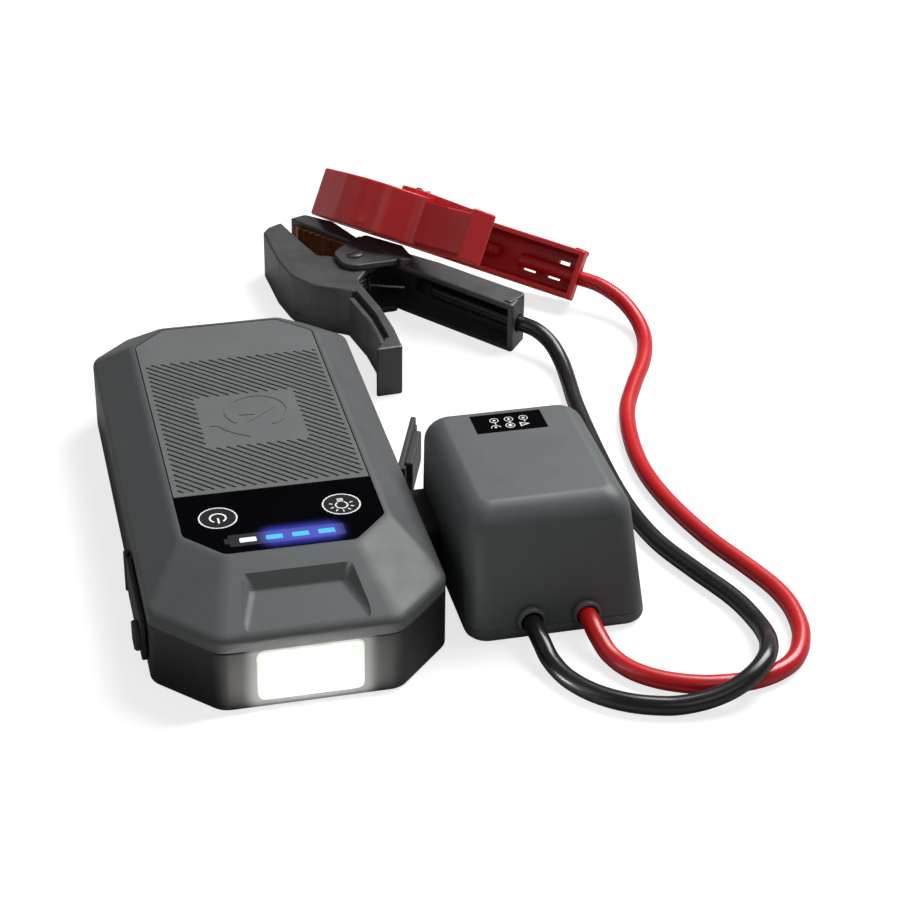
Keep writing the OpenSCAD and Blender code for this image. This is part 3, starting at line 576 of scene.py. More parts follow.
def make_materials(s):
    """All finishes, by name."""
    red, copper = tuple(s.red_grip), (0.40, 0.17, 0.085)
    m = {
        "case_black": moulded("Lower case, satin black", s.case_black, 0.42, 0.3, 0.012, 25, 0.1),
        "shell_grey": moulded("Top cover, textured grey", s.shell_grey, 0.5, 0.32, 0.02, 22, 0.05, spec=0.3),
        "pad_grey": moulded("Charging pad, matt grey", s.pad_grey, 0.56, 0.28, 0.016, 20, 0.05, spec=0.3),
        "panel_gloss": moulded("Control panel, black film", (0.002, 0.002, 0.0025), 0.3, 0.8, 0.002, 14, 0.1,
                               spec=0.0),
        "button_dark": moulded("Button caps", (0.016, 0.0165, 0.018), 0.4, 0.3, 0.01, 8, 0.08, spec=0.1),
        "print_white": moulded("White print", (0.8, 0.81, 0.82), 0.45, 0.2, 0.004, 5, 0.03),
        "print_grey": moulded("Grey print", (0.022, 0.023, 0.025), 0.45, 0.2, 0.004, 5, 0.03, spec=0.1),
        "flap_rubber": moulded("Port covers, rubber", (0.012, 0.013, 0.014), 0.6, 0.25, 0.02, 10, 0.1,
                               sheen=0.05),
        "box_grey": moulded("Control box, soft grey", s.box_grey, 0.46, 0.35, 0.012, 26, 0.05, spec=0.35),
        "grommet": moulded("Grommets, grey rubber", (0.075, 0.086, 0.09), 0.5, 0.25, 0.015, 8, 0.08),
        "label_black": moulded("Label film", (0.003, 0.003, 0.0035), 0.3, 0.5, 0.003, 9, 0.1, spec=0.0),
        "plug_black": moulded("Plug, black", (0.009, 0.0095, 0.01), 0.45, 0.3, 0.015, 12, 0.1, spec=0.3),
        "cable_black": moulded("Black cable sheath", (0.010, 0.010, 0.011), 0.26, 1.6, 0.002, 40, 0.1),
        "cable_red": moulded("Red cable sheath", s.red_cable, 0.3, 1.6, 0.002, 40, 0.05),
        "grip_black": moulded("Black clamp, satin", s.black_grip, 0.42, 0.3, 0.01, 16, 0.1, spec=0.9),
        "grip_red": moulded("Red clamp, satin", red, 0.38, 0.3, 0.01, 16, 0.07),
        "contact_copper": metal("Clamp contacts, copper", copper, 0.42, (0.2, 0.08, 0.04), 0.5, (1, 1, 0.25)),
        "spring_steel": metal("Spring wire", (0.55, 0.56, 0.58), 0.25, (0.34, 0.35, 0.37), 0.3),
        "screw_steel": metal("Screws, rivets and pins", (0.5, 0.51, 0.53), 0.3, (0.3, 0.3, 0.32), 0.4),
        "port_steel": metal("Port shells", (0.62, 0.63, 0.65), 0.25, (0.45, 0.46, 0.48), 0.4, (0.3, 1, 1)),
        "pin_brass": metal("Plug pins, gold plate", (0.86, 0.62, 0.26), 0.22, (0.6, 0.4, 0.16), 0.5,
                           (0.2, 1, 1)),
        "coil_copper": metal("Charging coil, enamelled wire", (0.62, 0.28, 0.12), 0.35, (0.42, 0.17, 0.07),
                             0.3),
        "cell_foil": metal("Cell pouches", (0.42, 0.47, 0.55), 0.35, (0.32, 0.36, 0.42), 1.2, depth=0.05),
        "board_green": moulded("Circuit boards", (0.02, 0.11, 0.055), 0.35, 0.4, 0.02, 6, 0.3),
        "shield_grey": moulded("Coil shield", (0.045, 0.045, 0.048), 0.6, 0.3, 0.03, 5, 0.2),
        "socket_blue": moulded("Jump socket", (0.03, 0.08, 0.3), 0.4, 0.3, 0.01, 9, 0.1),
        "relay_black": moulded("Relays", (0.02, 0.02, 0.022), 0.4, 0.4, 0.01, 9, 0.1),
        "lamp_lit": lit("Lamp window, lit", (0.86, 0.92, 0.84), s.lamp_strength, 7, 0.3),
        "gauge_white": lit("Gauge window, white", (0.86, 0.95, 1.0), s.gauge_strength, 3),
        "gauge_blue": lit("Gauge windows, blue", (0.09, 0.55, 0.82), s.gauge_strength, 3),
    }
    # painted glow: the lower case's own material emits light round the lamp window
    painted_spill(m["case_black"], (0.95, 1.0, 0.97), s.lamp_spill, (0, -HALF_L, LAMP_Z),
          (LAMP_W / 2 - 0.5, 4, LAMP_H / 2 - 0.5), 7)
    # painted glow: the panel film and the grey print emit blue light round the gauge
    for key in ("panel_gloss", "print_grey"):
        painted_spill(m[key], (0.07, 0.085, 0.62), s.gauge_spill, (4.4, GAUGE_Y, TOP_Z), (8.5, 0.8, 2), 8.5)
    return m


MATERIALS = {}


def settings():
    return bpy.context.scene.jump_starter


def mats():
    if not MATERIALS:
        MATERIALS.update(make_materials(settings()))
    return MATERIALS


# ---- the pack ----
CUT_SHRINK = 0.586  # a 45-degree corner's cut gets this much shorter for each mm the outline is drawn in


def octagon(half_w, front, rear, cut_x, cut_y, cut_r, t=0.0):
    """Outline of the pack, drawn in by t: long corners at the front, even ones at the rear."""
    k = CUT_SHRINK * t
    w, f, r, cx, cy, cr = half_w - t, front + t, rear - t, cut_x - k, cut_y - k, cut_r - k
    return [(-w, f + cy), (-w + cx, f), (w - cx, f), (w, f + cy),
            (w, r - cr), (w - cr, r), (-w + cr, r), (-w, r - cr)]


def rim_outline(t=0.0):
    return octagon(HALF_W, -HALF_L, HALF_L, 18.6, 19.5, 14, t)


def top_outline(t=0.0):
    return octagon(TOP_HALF_W, TOP_FRONT, TOP_REAR, 12.2, 13.5, 12, t)


def shell_ring(s, t, z, rounds):
    """Ring of the top cover: s runs from the rim (0) to the flat top (1), t draws it in."""
    points = [(a[0] * (1 - s) + b[0] * s, a[1] * (1 - s) + b[1] * s)
              for a, b in zip(rim_outline(t), top_outline(t))]
    return level(rounded(points, rounds[0] * (1 - s) + rounds[1] * s, 6), z)


def bend(a, b, c, steps):
    return [tuple(p * (1 - k) ** 2 + q * 2 * k * (1 - k) + r * k * k for p, q, r in zip(a, b, c))
            for k in (i / steps for i in range(steps + 1))]


def foot_levels(foot, steps=5):
    """Height and inset of the rings that round a lower edge."""
    return [(foot * (1 - math.cos(a)), foot * (1 - math.sin(a)))
            for a in (math.radians(90 * k / steps) for k in range(steps + 1))]


def screw_cutter(points, radius, z0, z1):
    return merged("screw_holes", [disc(radius, z0, z1, 28, move(x, y, 0)) for x, y in points])


LAMP_STAND = move(0, 0, LAMP_Z) @ turn(90, "X")


def lamp_plate(name, grow, corner, y0, y1, edge=0.0, edge_steps=2):
    """Upright plate with the lamp's outline, from y0 back to y1."""
    w, h = LAMP_W / 2 + grow, LAMP_H / 2 + grow
    return plate(name, [rounded(rect(-w, -h, w, h), corner, 6)], -y1, -y0, edge, LAMP_STAND, edge_steps)


def build_lower_case():
    r = settings().corner_round
    levels = foot_levels(1.4) + [(12, 0), (LOWER_H - 0.45, 0), (LOWER_H - 0.2, 0.12), (LOWER_H - 0.02, 0.4)]
    case = stack("lower_case_shell", [level(rounded(rim_outline(t), r, 6), z) for z, t in levels])
    cavity = [level(rounded(rim_outline(WALL), r - 2, 5), z) for z in (3.0, LOWER_H + 1)]
    cut(case, stack("cavity", cavity), screw_cutter(CASE_BOSSES, 3.0, -1, 2.4),
        lamp_plate("lamp_hole", 0.12, 2.7, -HALF_L - 1, -HALF_L + 3.2),
        brick("socket_mouth", (43, -40, 7.5), (47, -16, 18.5), 0.8),
        brick("usb_mouth", (-47, -72, 7), (-43, -40, 18.5), 0.8))
    soften(case, 0.25, 2, 40)
    settle(case, "pack", "case_black", ["lower_case"])


def build_top_cover():
    r, near, bend_z = settings().corner_round, 0.09, 1.7
    rounds, rise = (r, r * 0.75), TOP_Z - RIM_Z
    rings = [shell_ring(0, t, LOWER_H + up, rounds) for t, up in ((0.4, 0.02), (0.12, 0.2), (0, 0.45))]
    for k, z in bend((0, RIM_Z - bend_z), (0, RIM_Z), (near, RIM_Z + near * rise), 5):
        rings.append(shell_ring(k, 0, z, rounds))
    for k, t, z in bend((1 - near, 0, TOP_Z - near * rise), (1, 0, TOP_Z), (1, 1.1, TOP_Z), 5):
        rings.append(shell_ring(k, t, z, rounds))
    cover = stack("top_cover_shell", rings)
    low = [level(rounded(rim_outline(WALL), 5, 5), z) for z in (LOWER_H - 1, RIM_Z - 1)]
    high = [level(rounded(octagon(HALF_W - 2.4, -66, HALF_L - 2.4, 14, 14, 13), 4, 5), RIM_Z - 1.5),
            level(rounded(octagon(TOP_HALF_W - 2.2, -64, TOP_REAR - 2, 10, 10, 11), 3, 5), TOP_Z - 2.4)]
    scoop = wrapped("scoop", [(sx * w, y, z) for sx in (-1, 1) for w, y, z in (
        (14.3, -78.2, 28.8), (19.5, -95.6, 26.2), (20.9, -70.2, 39.6), (22.5, -98.6, 39.6))])
    soften(scoop, 1.3, 4, 20)
    inlay = plate("inlay", [rounded(top_outline(INLAY), 3.6, 6)], TOP_Z - 1, TOP_Z + 1)
    holes = screw_cutter([(-BUTTON_X, BUTTON_Y), (BUTTON_X, BUTTON_Y)], 6.5, 30, TOP_Z + 1)
    slots = merged("slots", [brick("slot", (x - 3, GAUGE_Y - 1.65, 30), (x + 3, GAUGE_Y + 1.65, TOP_Z + 1))
                             for x in GAUGE_X])
    cut(cover, stack("low_cavity", low), stack("high_cavity", high), scoop, inlay, holes, slots)
    soften(cover, 0.3, 2, 40)
    settle(cover, "pack", "shell_grey", ["top_cover"])


def capsule(a, b, r, steps=5):
    """Outline of a slot with round ends."""
    d = (Vector(b) - Vector(a)).normalized()
    along = math.degrees(math.atan2(d.y, d.x))
    return [polar(along + start + 180 * k / steps, r, *centre)
            for centre, start in ((b, -90), (a, 90)) for k in range(steps + 1)]


def circle(x, y, r, steps=40):
    return [polar(360 * k / steps, r, x, y) for k in range(steps)]


def arc_band(x, y, r, width, start, end, steps=24):
    """Outline of part of a ring, angles in degrees."""
    angles = [start + (end - start) * k / steps for k in range(steps + 1)]
    return ([polar(a, r + width / 2, x, y) for a in angles]
            + [polar(a, r - width / 2, x, y) for a in reversed(angles)])


PAD_FIELD, MARK_FIELD = (-29.8, 30.2, -28.6, 58.0), (-16.6, 17.2, -2.6, 31.2)


def pad_grooves(pitch, width):
    """Slanting grooves across the pad, left out of the square that carries the charge mark."""
    x0, x1, y0, y1 = PAD_FIELD
    bx0, bx1, by0, by1 = MARK_FIELD
    grooves, c = [], y0 + x0 + pitch * 0.6
    while c < y1 + x1:
        left, right = max(x0, c - y1), min(x1, c - y0)
        spans = [(left, right)]
        inside = (max(bx0, c - by1, left), min(bx1, c - by0, right))
        if inside[0] < inside[1]:
            spans = [(left, inside[0]), (inside[1], right)]
        grooves += [((a, c - a), (b, c - b)) for a, b in spans if b - a > 1.2]
        c += pitch
    shrink = width / 2
    return [capsule((a[0] + shrink, a[1] - shrink), (b[0] - shrink, b[1] + shrink), width / 2)
            for a, b in grooves if b[0] - a[0] > 2.2 * shrink + 0.4]


def build_charging_pad():
    s, cover = settings(), 0.35
    edge, w = top_outline(INLAY + cover), TOP_HALF_W - INLAY - cover
    front = PANEL_REAR + 0.25
    body = rounded([(-w, front), (w, front)] + edge[4:8], [0.6, 0.6, 3, 3, 3, 3], 5)
    floor = plate("pad_floor", [body], TOP_Z - 1, TOP_Z - s.groove_depth - 0.02, 0)
    face = plate("pad_face", [body] + pad_grooves(s.groove_pitch, s.groove_width),
                 TOP_Z - s.groove_depth - 0.05, TOP_Z, 0.12)
    mark_z = TOP_Z + 0.22
    ring = plate("mark_ring", [arc_band(3.1, 18.8, 10.4, 1.2, -68, 222, 48)], TOP_Z - 0.1, mark_z, 0.08)
    bolt = plate("mark_bolt", [rounded([(8.7, 26.5), (-3.6, 16.6), (2.0, 16.3), (-2.4, 10.3), (9.8, 20.1),
                                        (4.6, 20.0)], 0.4, 2)], TOP_Z - 0.1, mark_z, 0.08)
    tail = plate("mark_tail", [rounded([(-14.6, 11.0), (-11.2, 11.1), (-8.9, 7.3), (-5.2, 4.1), (-1.2, 1.6),
                                        (-1.2, 5.4), (-4.1, 7.2), (-6.2, 9.6), (-7.4, 12.7)],
                                       [0.8, 3, 3, 3, 0.5, 0.5, 3, 3, 0.8], 4)], TOP_Z - 0.1, mark_z, 0.08)
    pad = merged("charging_pad_face", [floor, face, ring, bolt, tail])
    settle(pad, "pack", "pad_grey", ["charging_pad"], 30)


def gauge_slot(x, grow):
    w, h = 2.6 + grow, 1.3 + grow
    return rounded(rect(x - w, GAUGE_Y - h, x + w, GAUGE_Y + h), 0.45, 3)


def build_controls():
    cover, rear = 0.25, PANEL_REAR - 0.1
    edge, w = top_outline(INLAY + cover), TOP_HALF_W - INLAY - cover
    windows = [gauge_slot(x, 0.1) for x in GAUGE_X]
    holes = [circle(sx * BUTTON_X, BUTTON_Y, BUTTON_R + 0.15, 48) for sx in (-1, 1)]
    rim = rounded(edge[0:4] + [(w, rear), (-w, rear)], [3, 3, 3, 3, 0.6, 0.6], 5)
    panel = plate("control_panel_face", [rim] + holes + windows, TOP_Z - 1, TOP_Z, 0.15)
    settle(panel, "pack", "panel_gloss", ["control_panel"])
    # print: a battery shape under the gauge, with its nub on the left
    z0, z1, left, right, h, nub_h = TOP_Z - 0.01, TOP_Z + 0.015, -18.2, 17.8, 3.3, 1.5
    body = rounded(rect(left, GAUGE_Y - h, right, GAUGE_Y + h), 0.9, 4)
    nub = rounded(rect(left - 1.3, GAUGE_Y - nub_h, left - 0.05, GAUGE_Y + nub_h), 0.3, 3)
    prints = [plate("gauge_frame", [body] + windows, z0, z1), plate("gauge_nub", [nub], z0, z1)]
    settle(merged("gauge_print", prints), "pack", "print_grey")
    # lit gauge windows: the first is white, the others blue
    finishes = ["gauge_white", "gauge_blue"]
    lights = [plate("window", [gauge_slot(x, 0)], TOP_Z - 2.4, TOP_Z - 0.05, 0.1) for x in GAUGE_X]
    for i, obj in enumerate(lights):
        for key in finishes:
            obj.data.materials.append(mats()[key])
        obj.data.polygons.foreach_set("material_index", [min(i, 1)] * len(obj.data.polygons))
    gauge = merged("gauge_lights", lights)
    indices = [p.material_index for p in gauge.data.polygons]
    settle(gauge, "pack", finishes, ["gauge_windows"])
    gauge.data.polygons.foreach_set("material_index", indices)
    build_button("power_button", -BUTTON_X, power_icon)
    build_button("light_button", BUTTON_X, lamp_icon)


def power_icon(x, y):
    """Printed to be read from the rear end, like all marks on the pack."""
    return [[arc_band(x, y, 2.5, 0.6, -56, 236, 28)], [capsule((x, y - 0.2), (x, y - 2.9), 0.3)]]


def lamp_icon(x, y):
    mid = y - 0.5
    rays = [[capsule(polar(angle, 3.0, x, mid), polar(angle, 3.8, x, mid), 0.22)]
            for angle in (160, 200, 235, 270, 305, 340, 380)]
    base = [[capsule((x - 0.8, y + k), (x + 0.8, y + k), 0.22)] for k in (1.75, 2.5, 3.2)]
    return [[arc_band(x, mid, 1.9, 0.45, 122, 418, 28)]] + base + rays


def build_button(node, x, icon):
    r, top = BUTTON_R, TOP_Z
    profile = [(0, 4.4), (1.8, 4.4), (1.8, 3.1), (5.9, 3.1), (5.9, 2.2), (r, 2.2), (r, 0.35), (r - 0.1, 0.12),
               (r - 0.32, 0.01), (5.2, 0.02), (3.4, 0.1), (0, 0.14)]
    cap = turned(node + "_cap", [(out, top - down) for out, down in profile], 64, move(x, BUTTON_Y, 0))
    settle(cap, node, "button_dark", [node], 40)
    z0, z1 = top - 0.16, top + 0.015
    marks = [plate("ring", [circle(x, BUTTON_Y, 6.12, 64), circle(x, BUTTON_Y, 5.66, 64)], z0, z1)]
    marks += [plate("mark", lines, z0, z1 - 0.02) for lines in icon(x, BUTTON_Y)]
    settle(merged(node + "_marks", marks), node, "print_white")


def build_lamp():
    front = -HALF_L - 0.3
    lens = lamp_plate("lamp_lens", 0, 2.6, front, front + 2.4, 0.5, 3)
    settle(lens, "pack", "lamp_lit", ["lamp_window"], 40)


# ---- port covers ----
def upright(outline, x0, x1, edge, name="slab"):
    """Plate that stands in the YZ plane between x0 and x1."""
    stand = Matrix(((0, 0, 1, 0), (1, 0, 0, 0), (0, 1, 0, 0), (0, 0, 0, 1)))
    return plate(name, [outline], x0, x1, edge, stand)


def slab(y0, y1, z0, z1, x0, x1, corner, edge, name="slab"):
    return upright(rounded(rect(y0, z0, y1, z1), corner, 5), x0, x1, edge, name)


def build_port_covers():
    flap = slab(-74.4, -36.2, 5.4, 19.9, -48.0, -46.2, 1.8, 0.5, "usb_flap")
    barrel = turned("usb_barrel", [(0, 6.0), (1.0, 6.0), (1.2, 6.2), (1.2, 20.3), (1.0, 20.5), (0, 20.5)], 24,
                    move(-47.4, -35, 0))
    strap = brick("usb_strap", (-47.9, -37.4, 8), (-46.9, -35, 18), 0.3)
    plug = slab(-71, -41, 7.6, 17.9, -46.3, -44.6, 1.2, 0.5, "usb_seal")
    finger = slab(-74.4, -67.2, 9.2, 17.0, -49.9, -47.9, 1.4, 0.8, "usb_finger")
    add(flap, barrel, strap, plug, finger)
    soften(flap, 0.15, 1, 50)
    rib = brick("rib", (-0.25, -0.35, -3.4), (0.25, 0.35, 3.4), 0.2)
    ribs = set_out("usb_ribs", rib, [(-49.85, y, 13.1) for y in (-73.2, -71.8, -70.4, -69.0, -67.9)],
                   "flap_rubber")
    cover = merged("usb_cover", [flap, ribs])
    settle(cover, "usb_cover", "flap_rubber", ["usb_port_cover"], 35)
    # jump port cover, standing open behind the box
    ajar = move(47.7, -5, 0) @ turn(-20, "Z")
    flap = slab(0, 35, 6.3, 21.9, -1.5, 0.3, 2.0, 0.5, "jump_flap")
    barrel = turned("jump_barrel", [(0, 6.3), (1.3, 6.3), (1.5, 6.5), (1.5, 21.7), (1.3, 21.9), (0, 21.9)],
                    24)
    seal = slab(5, 28, 7.9, 20.3, 0.2, 3.1, 1.6, 0.6, "jump_seal")
    lip = slab(29.5, 33.5, 9.0, 19.2, 0.2, 0.9, 0.8, 0.3, "jump_lip")
    add(flap, barrel, seal, lip)
    placed(soften(flap, 0.15, 1, 50), ajar)
    settle(flap, "jump_cover", "flap_rubber", ["jump_port_cover"], 35)


# ---- control box ----
def box_ring(z, t, steps=8):
    """Ring of the box's wall at height z, drawn in by t."""
    widths = {side: BOX_W / 2 - lean * z / BOX_H - t for side, lean in ((1, BOX_LEAN), (-1, BOX_PLUG_LEAN))}
    half_l, mid = BOX_L / 2 - BOX_END_LEAN * z / BOX_H - t, BOX_Y + BOX_END_LEAN * z / BOX_H
    r, points = max(BOX_CORNER - t * 0.6, 2.2), []
    for q, (sx, sy) in enumerate(((1, 1), (-1, 1), (-1, -1), (1, -1))):
        corner = BOX_X + sx * (widths[sx] - r), mid + sy * (half_l - r)
        points += [polar(90 * (q + k / steps), r, *corner) for k in range(steps + 1)]
    return level(points, z)


def box_levels(round_r, steps):
    """Height and inset of the crown's rings."""
    crease = math.radians(78)
    return [(BOX_H - round_r * (1 - math.sin(a) / math.sin(crease)), round_r * (1 - math.cos(a)))
            for a in (crease * k / steps for k in range(steps + 1))]


def build_box():
    gap = 0.06
    rings = [box_ring(BOX_PARTING + gap, 0.16), box_ring(BOX_PARTING + gap + 0.2, 0)]
    rings += [box_ring(z, 0) for z in (14, 24, 33)]
    rings += [box_ring(z, t) for z, t in box_levels(8.0, 8)]
    cover = stack("box_cover_shell", rings)
    inner = [box_ring(z, t) for z, t in ((BOX_PARTING - 1, 2), (36, 2), (40.5, 4), (42.8, 8))]
    recess = brick("label_recess", (LABEL_X - LABEL_HALF_W - 0.1, LABEL_FRONT - 0.1, 44.35),
                   (LABEL_X + LABEL_HALF_W + 0.1, LABEL_REAR + 0.1, 46))
    mouth = brick("plug_mouth", (49, -41.1, 6.4), (58.6, -14.9, 19.6), 0.6)
    holes = merged("cable_holes", [disc(4.0, 0, 10, 32, move(x, GROMMET_Y - 1, GROMMET_Z) @ turn(-90, "X"))
                                   for x in EXIT_X.values()])
    base_holes = copied(holes, "base_holes")
    cut(cover, stack("box_inside", inner), recess, mouth, holes)
    soften(cover, 0.2, 2, 42)
    settle(cover, "jump_lead", "box_grey", ["box_cover"], 30)
    rings = [box_ring(z, t) for z, t in foot_levels(3.2)]
    rings += [box_ring(BOX_PARTING - gap - 0.2, 0), box_ring(BOX_PARTING - gap, 0.16)]
    base = stack("box_base_tray", rings)
    cut(base, stack("tray", [box_ring(2.0, 2), box_ring(6.0, 2)]), base_holes,
        screw_cutter(BOX_BOSSES, 2.9, -1, 1.9))
    soften(base, 0.2, 2, 42)
    settle(base, "jump_lead", "box_grey", ["box_base"], 30)
    build_label()
    build_grommets()


def build_label():
    top, up, down, apart = 44.95, -20.6, -24.6, 4.9
    rim = rect(LABEL_X - LABEL_HALF_W, LABEL_FRONT, LABEL_X + LABEL_HALF_W, LABEL_REAR)
    film = plate("box_label_film", [rounded(rim, 0.6, 4)], 44.0, top, 0.1)
    settle(film, "jump_lead", "label_black", ["box_label"])
    # print: three lamps above; a wave, a ring and an arrow below
    shapes = []
    for x in (LABEL_X - apart + 0.4, LABEL_X + 0.4, LABEL_X + apart + 0.4):
        shapes += [[circle(x, up, 1.5, 28), circle(x, up, 1.26, 28)], [circle(x, up, 0.5, 16)],
                   [capsule((x, up - 1.6), (x, up - 2.5), 0.13)]]
    left, right = LABEL_X - apart, LABEL_X + apart
    shapes += [[arc_band(left, down - 0.6, 1.5, 0.25, 0, 180, 16)], [circle(left, down - 0.3, 0.45, 14)],
               [circle(LABEL_X, down, 1.6, 30), circle(LABEL_X, down, 1.34, 30)],
               [circle(LABEL_X, down, 0.7, 18)],
               [[(right - 1.6, down - 1.3), (right - 1.6, down + 1.3), (right + 1.7, down)],
                [(right - 1.2, down - 0.75), (right - 1.2, down + 0.75), (right + 0.75, down)]]]
    marks = [plate("mark", lines, top - 0.01, top + 0.03) for lines in shapes]
    settle(merged("box_label_marks", marks), "jump_lead", "print_white")


def build_grommets():
    lay = turn(-90, "X")
    bore, r = 3.3, 4.6
    profile = [(bore + 0.35, 0.0), (r - 0.9, 0.0), (r - 0.45, 0.12), (r - 0.12, 0.45), (r, 0.9), (r, 1.6),
               (3.9, 1.6), (3.9, 9.0), (bore, 9.0), (bore, 0.5)]
    rings = [turned("grommet_" + side, profile, 48, move(x, GROMMET_Y, GROMMET_Z) @ lay)
             for side, x in EXIT_X.items()]
    settle(merged("cable_grommet_rings", rings), "jump_lead", "grommet",
           ["cable_grommets"], 35)


def pin_places(x):
    return [move(x, SOCKET_Y + side * PIN_APART / 2, SOCKET_Z) @ turn(90, "Y") for side in (-1, 1)]


def build_plug():
    nose = slab(-39.8, -16.2, 7.7, 18.3, 37.0, 46.5, 1.6, 0.5, "plug_nose")
    add(nose, slab(-41, -15, 6.5, 19.5, 46.3, 58.5, 2.2, 0.7, "plug_flange"))
    cut(nose, merged("pin_holes", [disc(2.5, 0, 30, 32, place) for place in pin_places(36)]))
    soften(nose, 0.2, 2, 45)
    rib = brick("rib", (-0.45, -10.5, -0.3), (0.45, 10.5, 0.3), 0.22)
    ribs = set_out("plug_ribs", rib, [(x, SOCKET_Y, 19.45) for x in (47.6, 49.2, 50.8)], "plug_black")
    settle(merged("plug_body", [nose, ribs]), "jump_lead", "plug_black",
           ["plug_housing"], 35)
    profile = [(0, 0), (1.2, 0.05), (2.0, 0.5), (2.38, 1.3), (2.5, 2.3), (2.5, 12), (2.3, 12.3), (2.3, 13.2),
               (2.5, 13.5), (2.5, 34.5), (0, 34.5)]
    pins = [turned("pin", profile, 36, place) for place in pin_places(26)]
    settle(merged("plug_pin_pair", pins), "jump_lead", "pin_brass", ["plug_pins"], 35)


# ---- screws ----
def screw_piece():
    """Pan head with a cross slot, head down."""
    head = turned("screw", [(0, 0.25), (1.2, 0.12), (2.1, 0.3), (2.6, 0.8), (2.7, 1.3), (2.7, 1.8),
                            (1.3, 1.85), (1.3, 2.3), (0, 2.3)], 32)
    return cut(head, brick("slot_a", (-1.5, -0.28, -0.5), (1.5, 0.28, 0.95)),
               brick("slot_b", (-0.28, -1.5, -0.5), (0.28, 1.5, 0.95)))


def build_screws():
    for name, body, points, z in (("case", "pack", CASE_BOSSES, 0.35),
                                  ("box", "jump_lead", BOX_BOSSES, 0.05)):
        screws = set_out(name + "_screw_set", screw_piece(), level(points, z), "screw_steel")
        settle(screws, body, "screw_steel", [name + "_screws"], 35)


# ---- clamps ----
THUMB = [
    (-22.5, 41.7), (-28.5, 38), (-31.2, 33.8), (-29.8, 8), (-27, -7), (-20.5, -17), (-10.6, -22.6),
    (-6.4, -25.8), (-3.2, -45), (-2, -66.3), (-7.6, -74.8), (3.1, -74), (3.1, -58), (1.6, -40), (-2.2, -17),
    (3, -8.5), (-8.5, 7), (-13.4, 8.2), (-17.9, 23.3)]
THUMB_ROUND = [1.2, 3, 4, 14, 12, 12, 8, 8, 20, 5, 1.0, 1.2, 8, 14, 6, 3, 3, 3, 6]
THUMB_HOLLOW = [
    (-17, 39), (-26.6, 35.6), (-29, 32.6), (-27.7, 8.4), (-25, -6.2), (-19.4, -15.3), (-10, -20.8),
    (-3.4, -25.6), (0.4, -44), (1.5, -63), (5, -63), (12, -58), (12, 12), (-6, 12)]
THUMB_TROUGH = [
    (-8.2, -26.4), (-4.4, -26.4), (-1.2, -45), (-0.5, -58), (-0.2, -66.2), (-3.6, -66.2), (-4.2, -58),
    (-5, -45)]
THUMB_PAD = [
    (-5.9, -26.9), (-2.9, -45), (-2.1, -58), (-1.7, -66.6), (-3.9, -66.6), (-4.3, -58), (-5.1, -45),
    (-8.2, -27.4)]
CABLE_OUT = [
    (-18.3, 44.7), (-11.6, 47.3), (-1.6, 38.2), (5.4, 20), (32.4, -8), (58.5, -40.9), (50.6, -51.4),
    (17.6, -8.4), (10.6, 1.6), (3.6, 16)]
CABLE_ROUND = [1.0, 2.5, 8, 12, 10, 2.0, 1.5, 6, 4, 4]
CABLE_HOLLOW = [
    (-17.2, 42.6), (-11.9, 44.9), (-3.3, 37), (3.8, 18.8), (30.7, -9.2), (55.7, -41.0), (49.2, -49.7),
    (40, -54), (6, -10), (-2, 12), (-26, 36)]
EAR = [(2, 15.5), (-8, 4.4), (-6.4, -5.6), (-1.5, -9.2), (16.7, -7.6), (11.4, 1.6), (5.6, 17)]
EAR_ROUND = [2, 6, 6, 4, 2, 1, 1]
EAR_STEP = [(16.7, -7.6), (11.4, 1.6), (5.6, 17), (8, 17.3), (20, 4.9), (22, -8)]
HUB_WEB = [(-26, -10), (-19.5, -16.4), (-8, -21.6), (-3, -20), (-2, -8), (-6, 6), (-16, 8), (-28.4, 8)]
SWEEP = [(-11, 8), (-11, -10), (2, -16), (20, -16), (20, 10)]
GRIP_X, GRIP_Y, GRIP_DIR = 54.5, -46.2, Vector((0.601, -0.799))
GRIP_TURN = Matrix.Rotation(math.atan2(GRIP_DIR.y, GRIP_DIR.x), 4, "Z")
LUG_BACK, LIFT, TROUGH_DEPTH, SPRING_WIRE_R = 36.2, 2.55, 3.2, 0.8


def thumb_shell():
    trough, web = rounded(THUMB_TROUGH, 0.7, 4), rounded(HUB_WEB, 1, 3)
    body = plate("thumb", [rounded(THUMB, THUMB_ROUND, 14)], 0, JAW_H, 0.9, None, 3)
    cut(body, plate("hollow", [rounded(THUMB_HOLLOW, 2, 4)], JAW_WALL, JAW_H - JAW_WALL),
        disc(15, -1, LIFT), plate("sweep", [SWEEP], -1, LIFT),
        plate("trough", [trough], JAW_H - TROUGH_DEPTH, JAW_H + 1),
        plate("trough", [trough], -1, TROUGH_DEPTH))
    pad = plate("thumb_pad", [rounded(THUMB_PAD, [0, 6, 6, 0, 0, 6, 6, 0], 5)], 1.8, JAW_H - 1.8)
    add(body, disc(9, LIFT, LIFT + JAW_WALL), plate("web", [web], LIFT, LIFT + JAW_WALL),
        disc(9, JAW_H - JAW_WALL, JAW_H - 0.01), soften(pad, 0.7, 3, 40))
    cut(body, disc(2.55, -1, JAW_H + 1))
    return soften(body, 0.22, 2, 42)


def along_grip(x0, x1, across0, across1, z0, z1, name, edge):
    """Brick laid along the cable's line in the cable half: x runs from the pivot to the handle's end."""
    return placed(brick(name, (x0, across0, z0), (x1, across1, z1), edge),
                  move(GRIP_X, GRIP_Y, 0) @ GRIP_TURN)


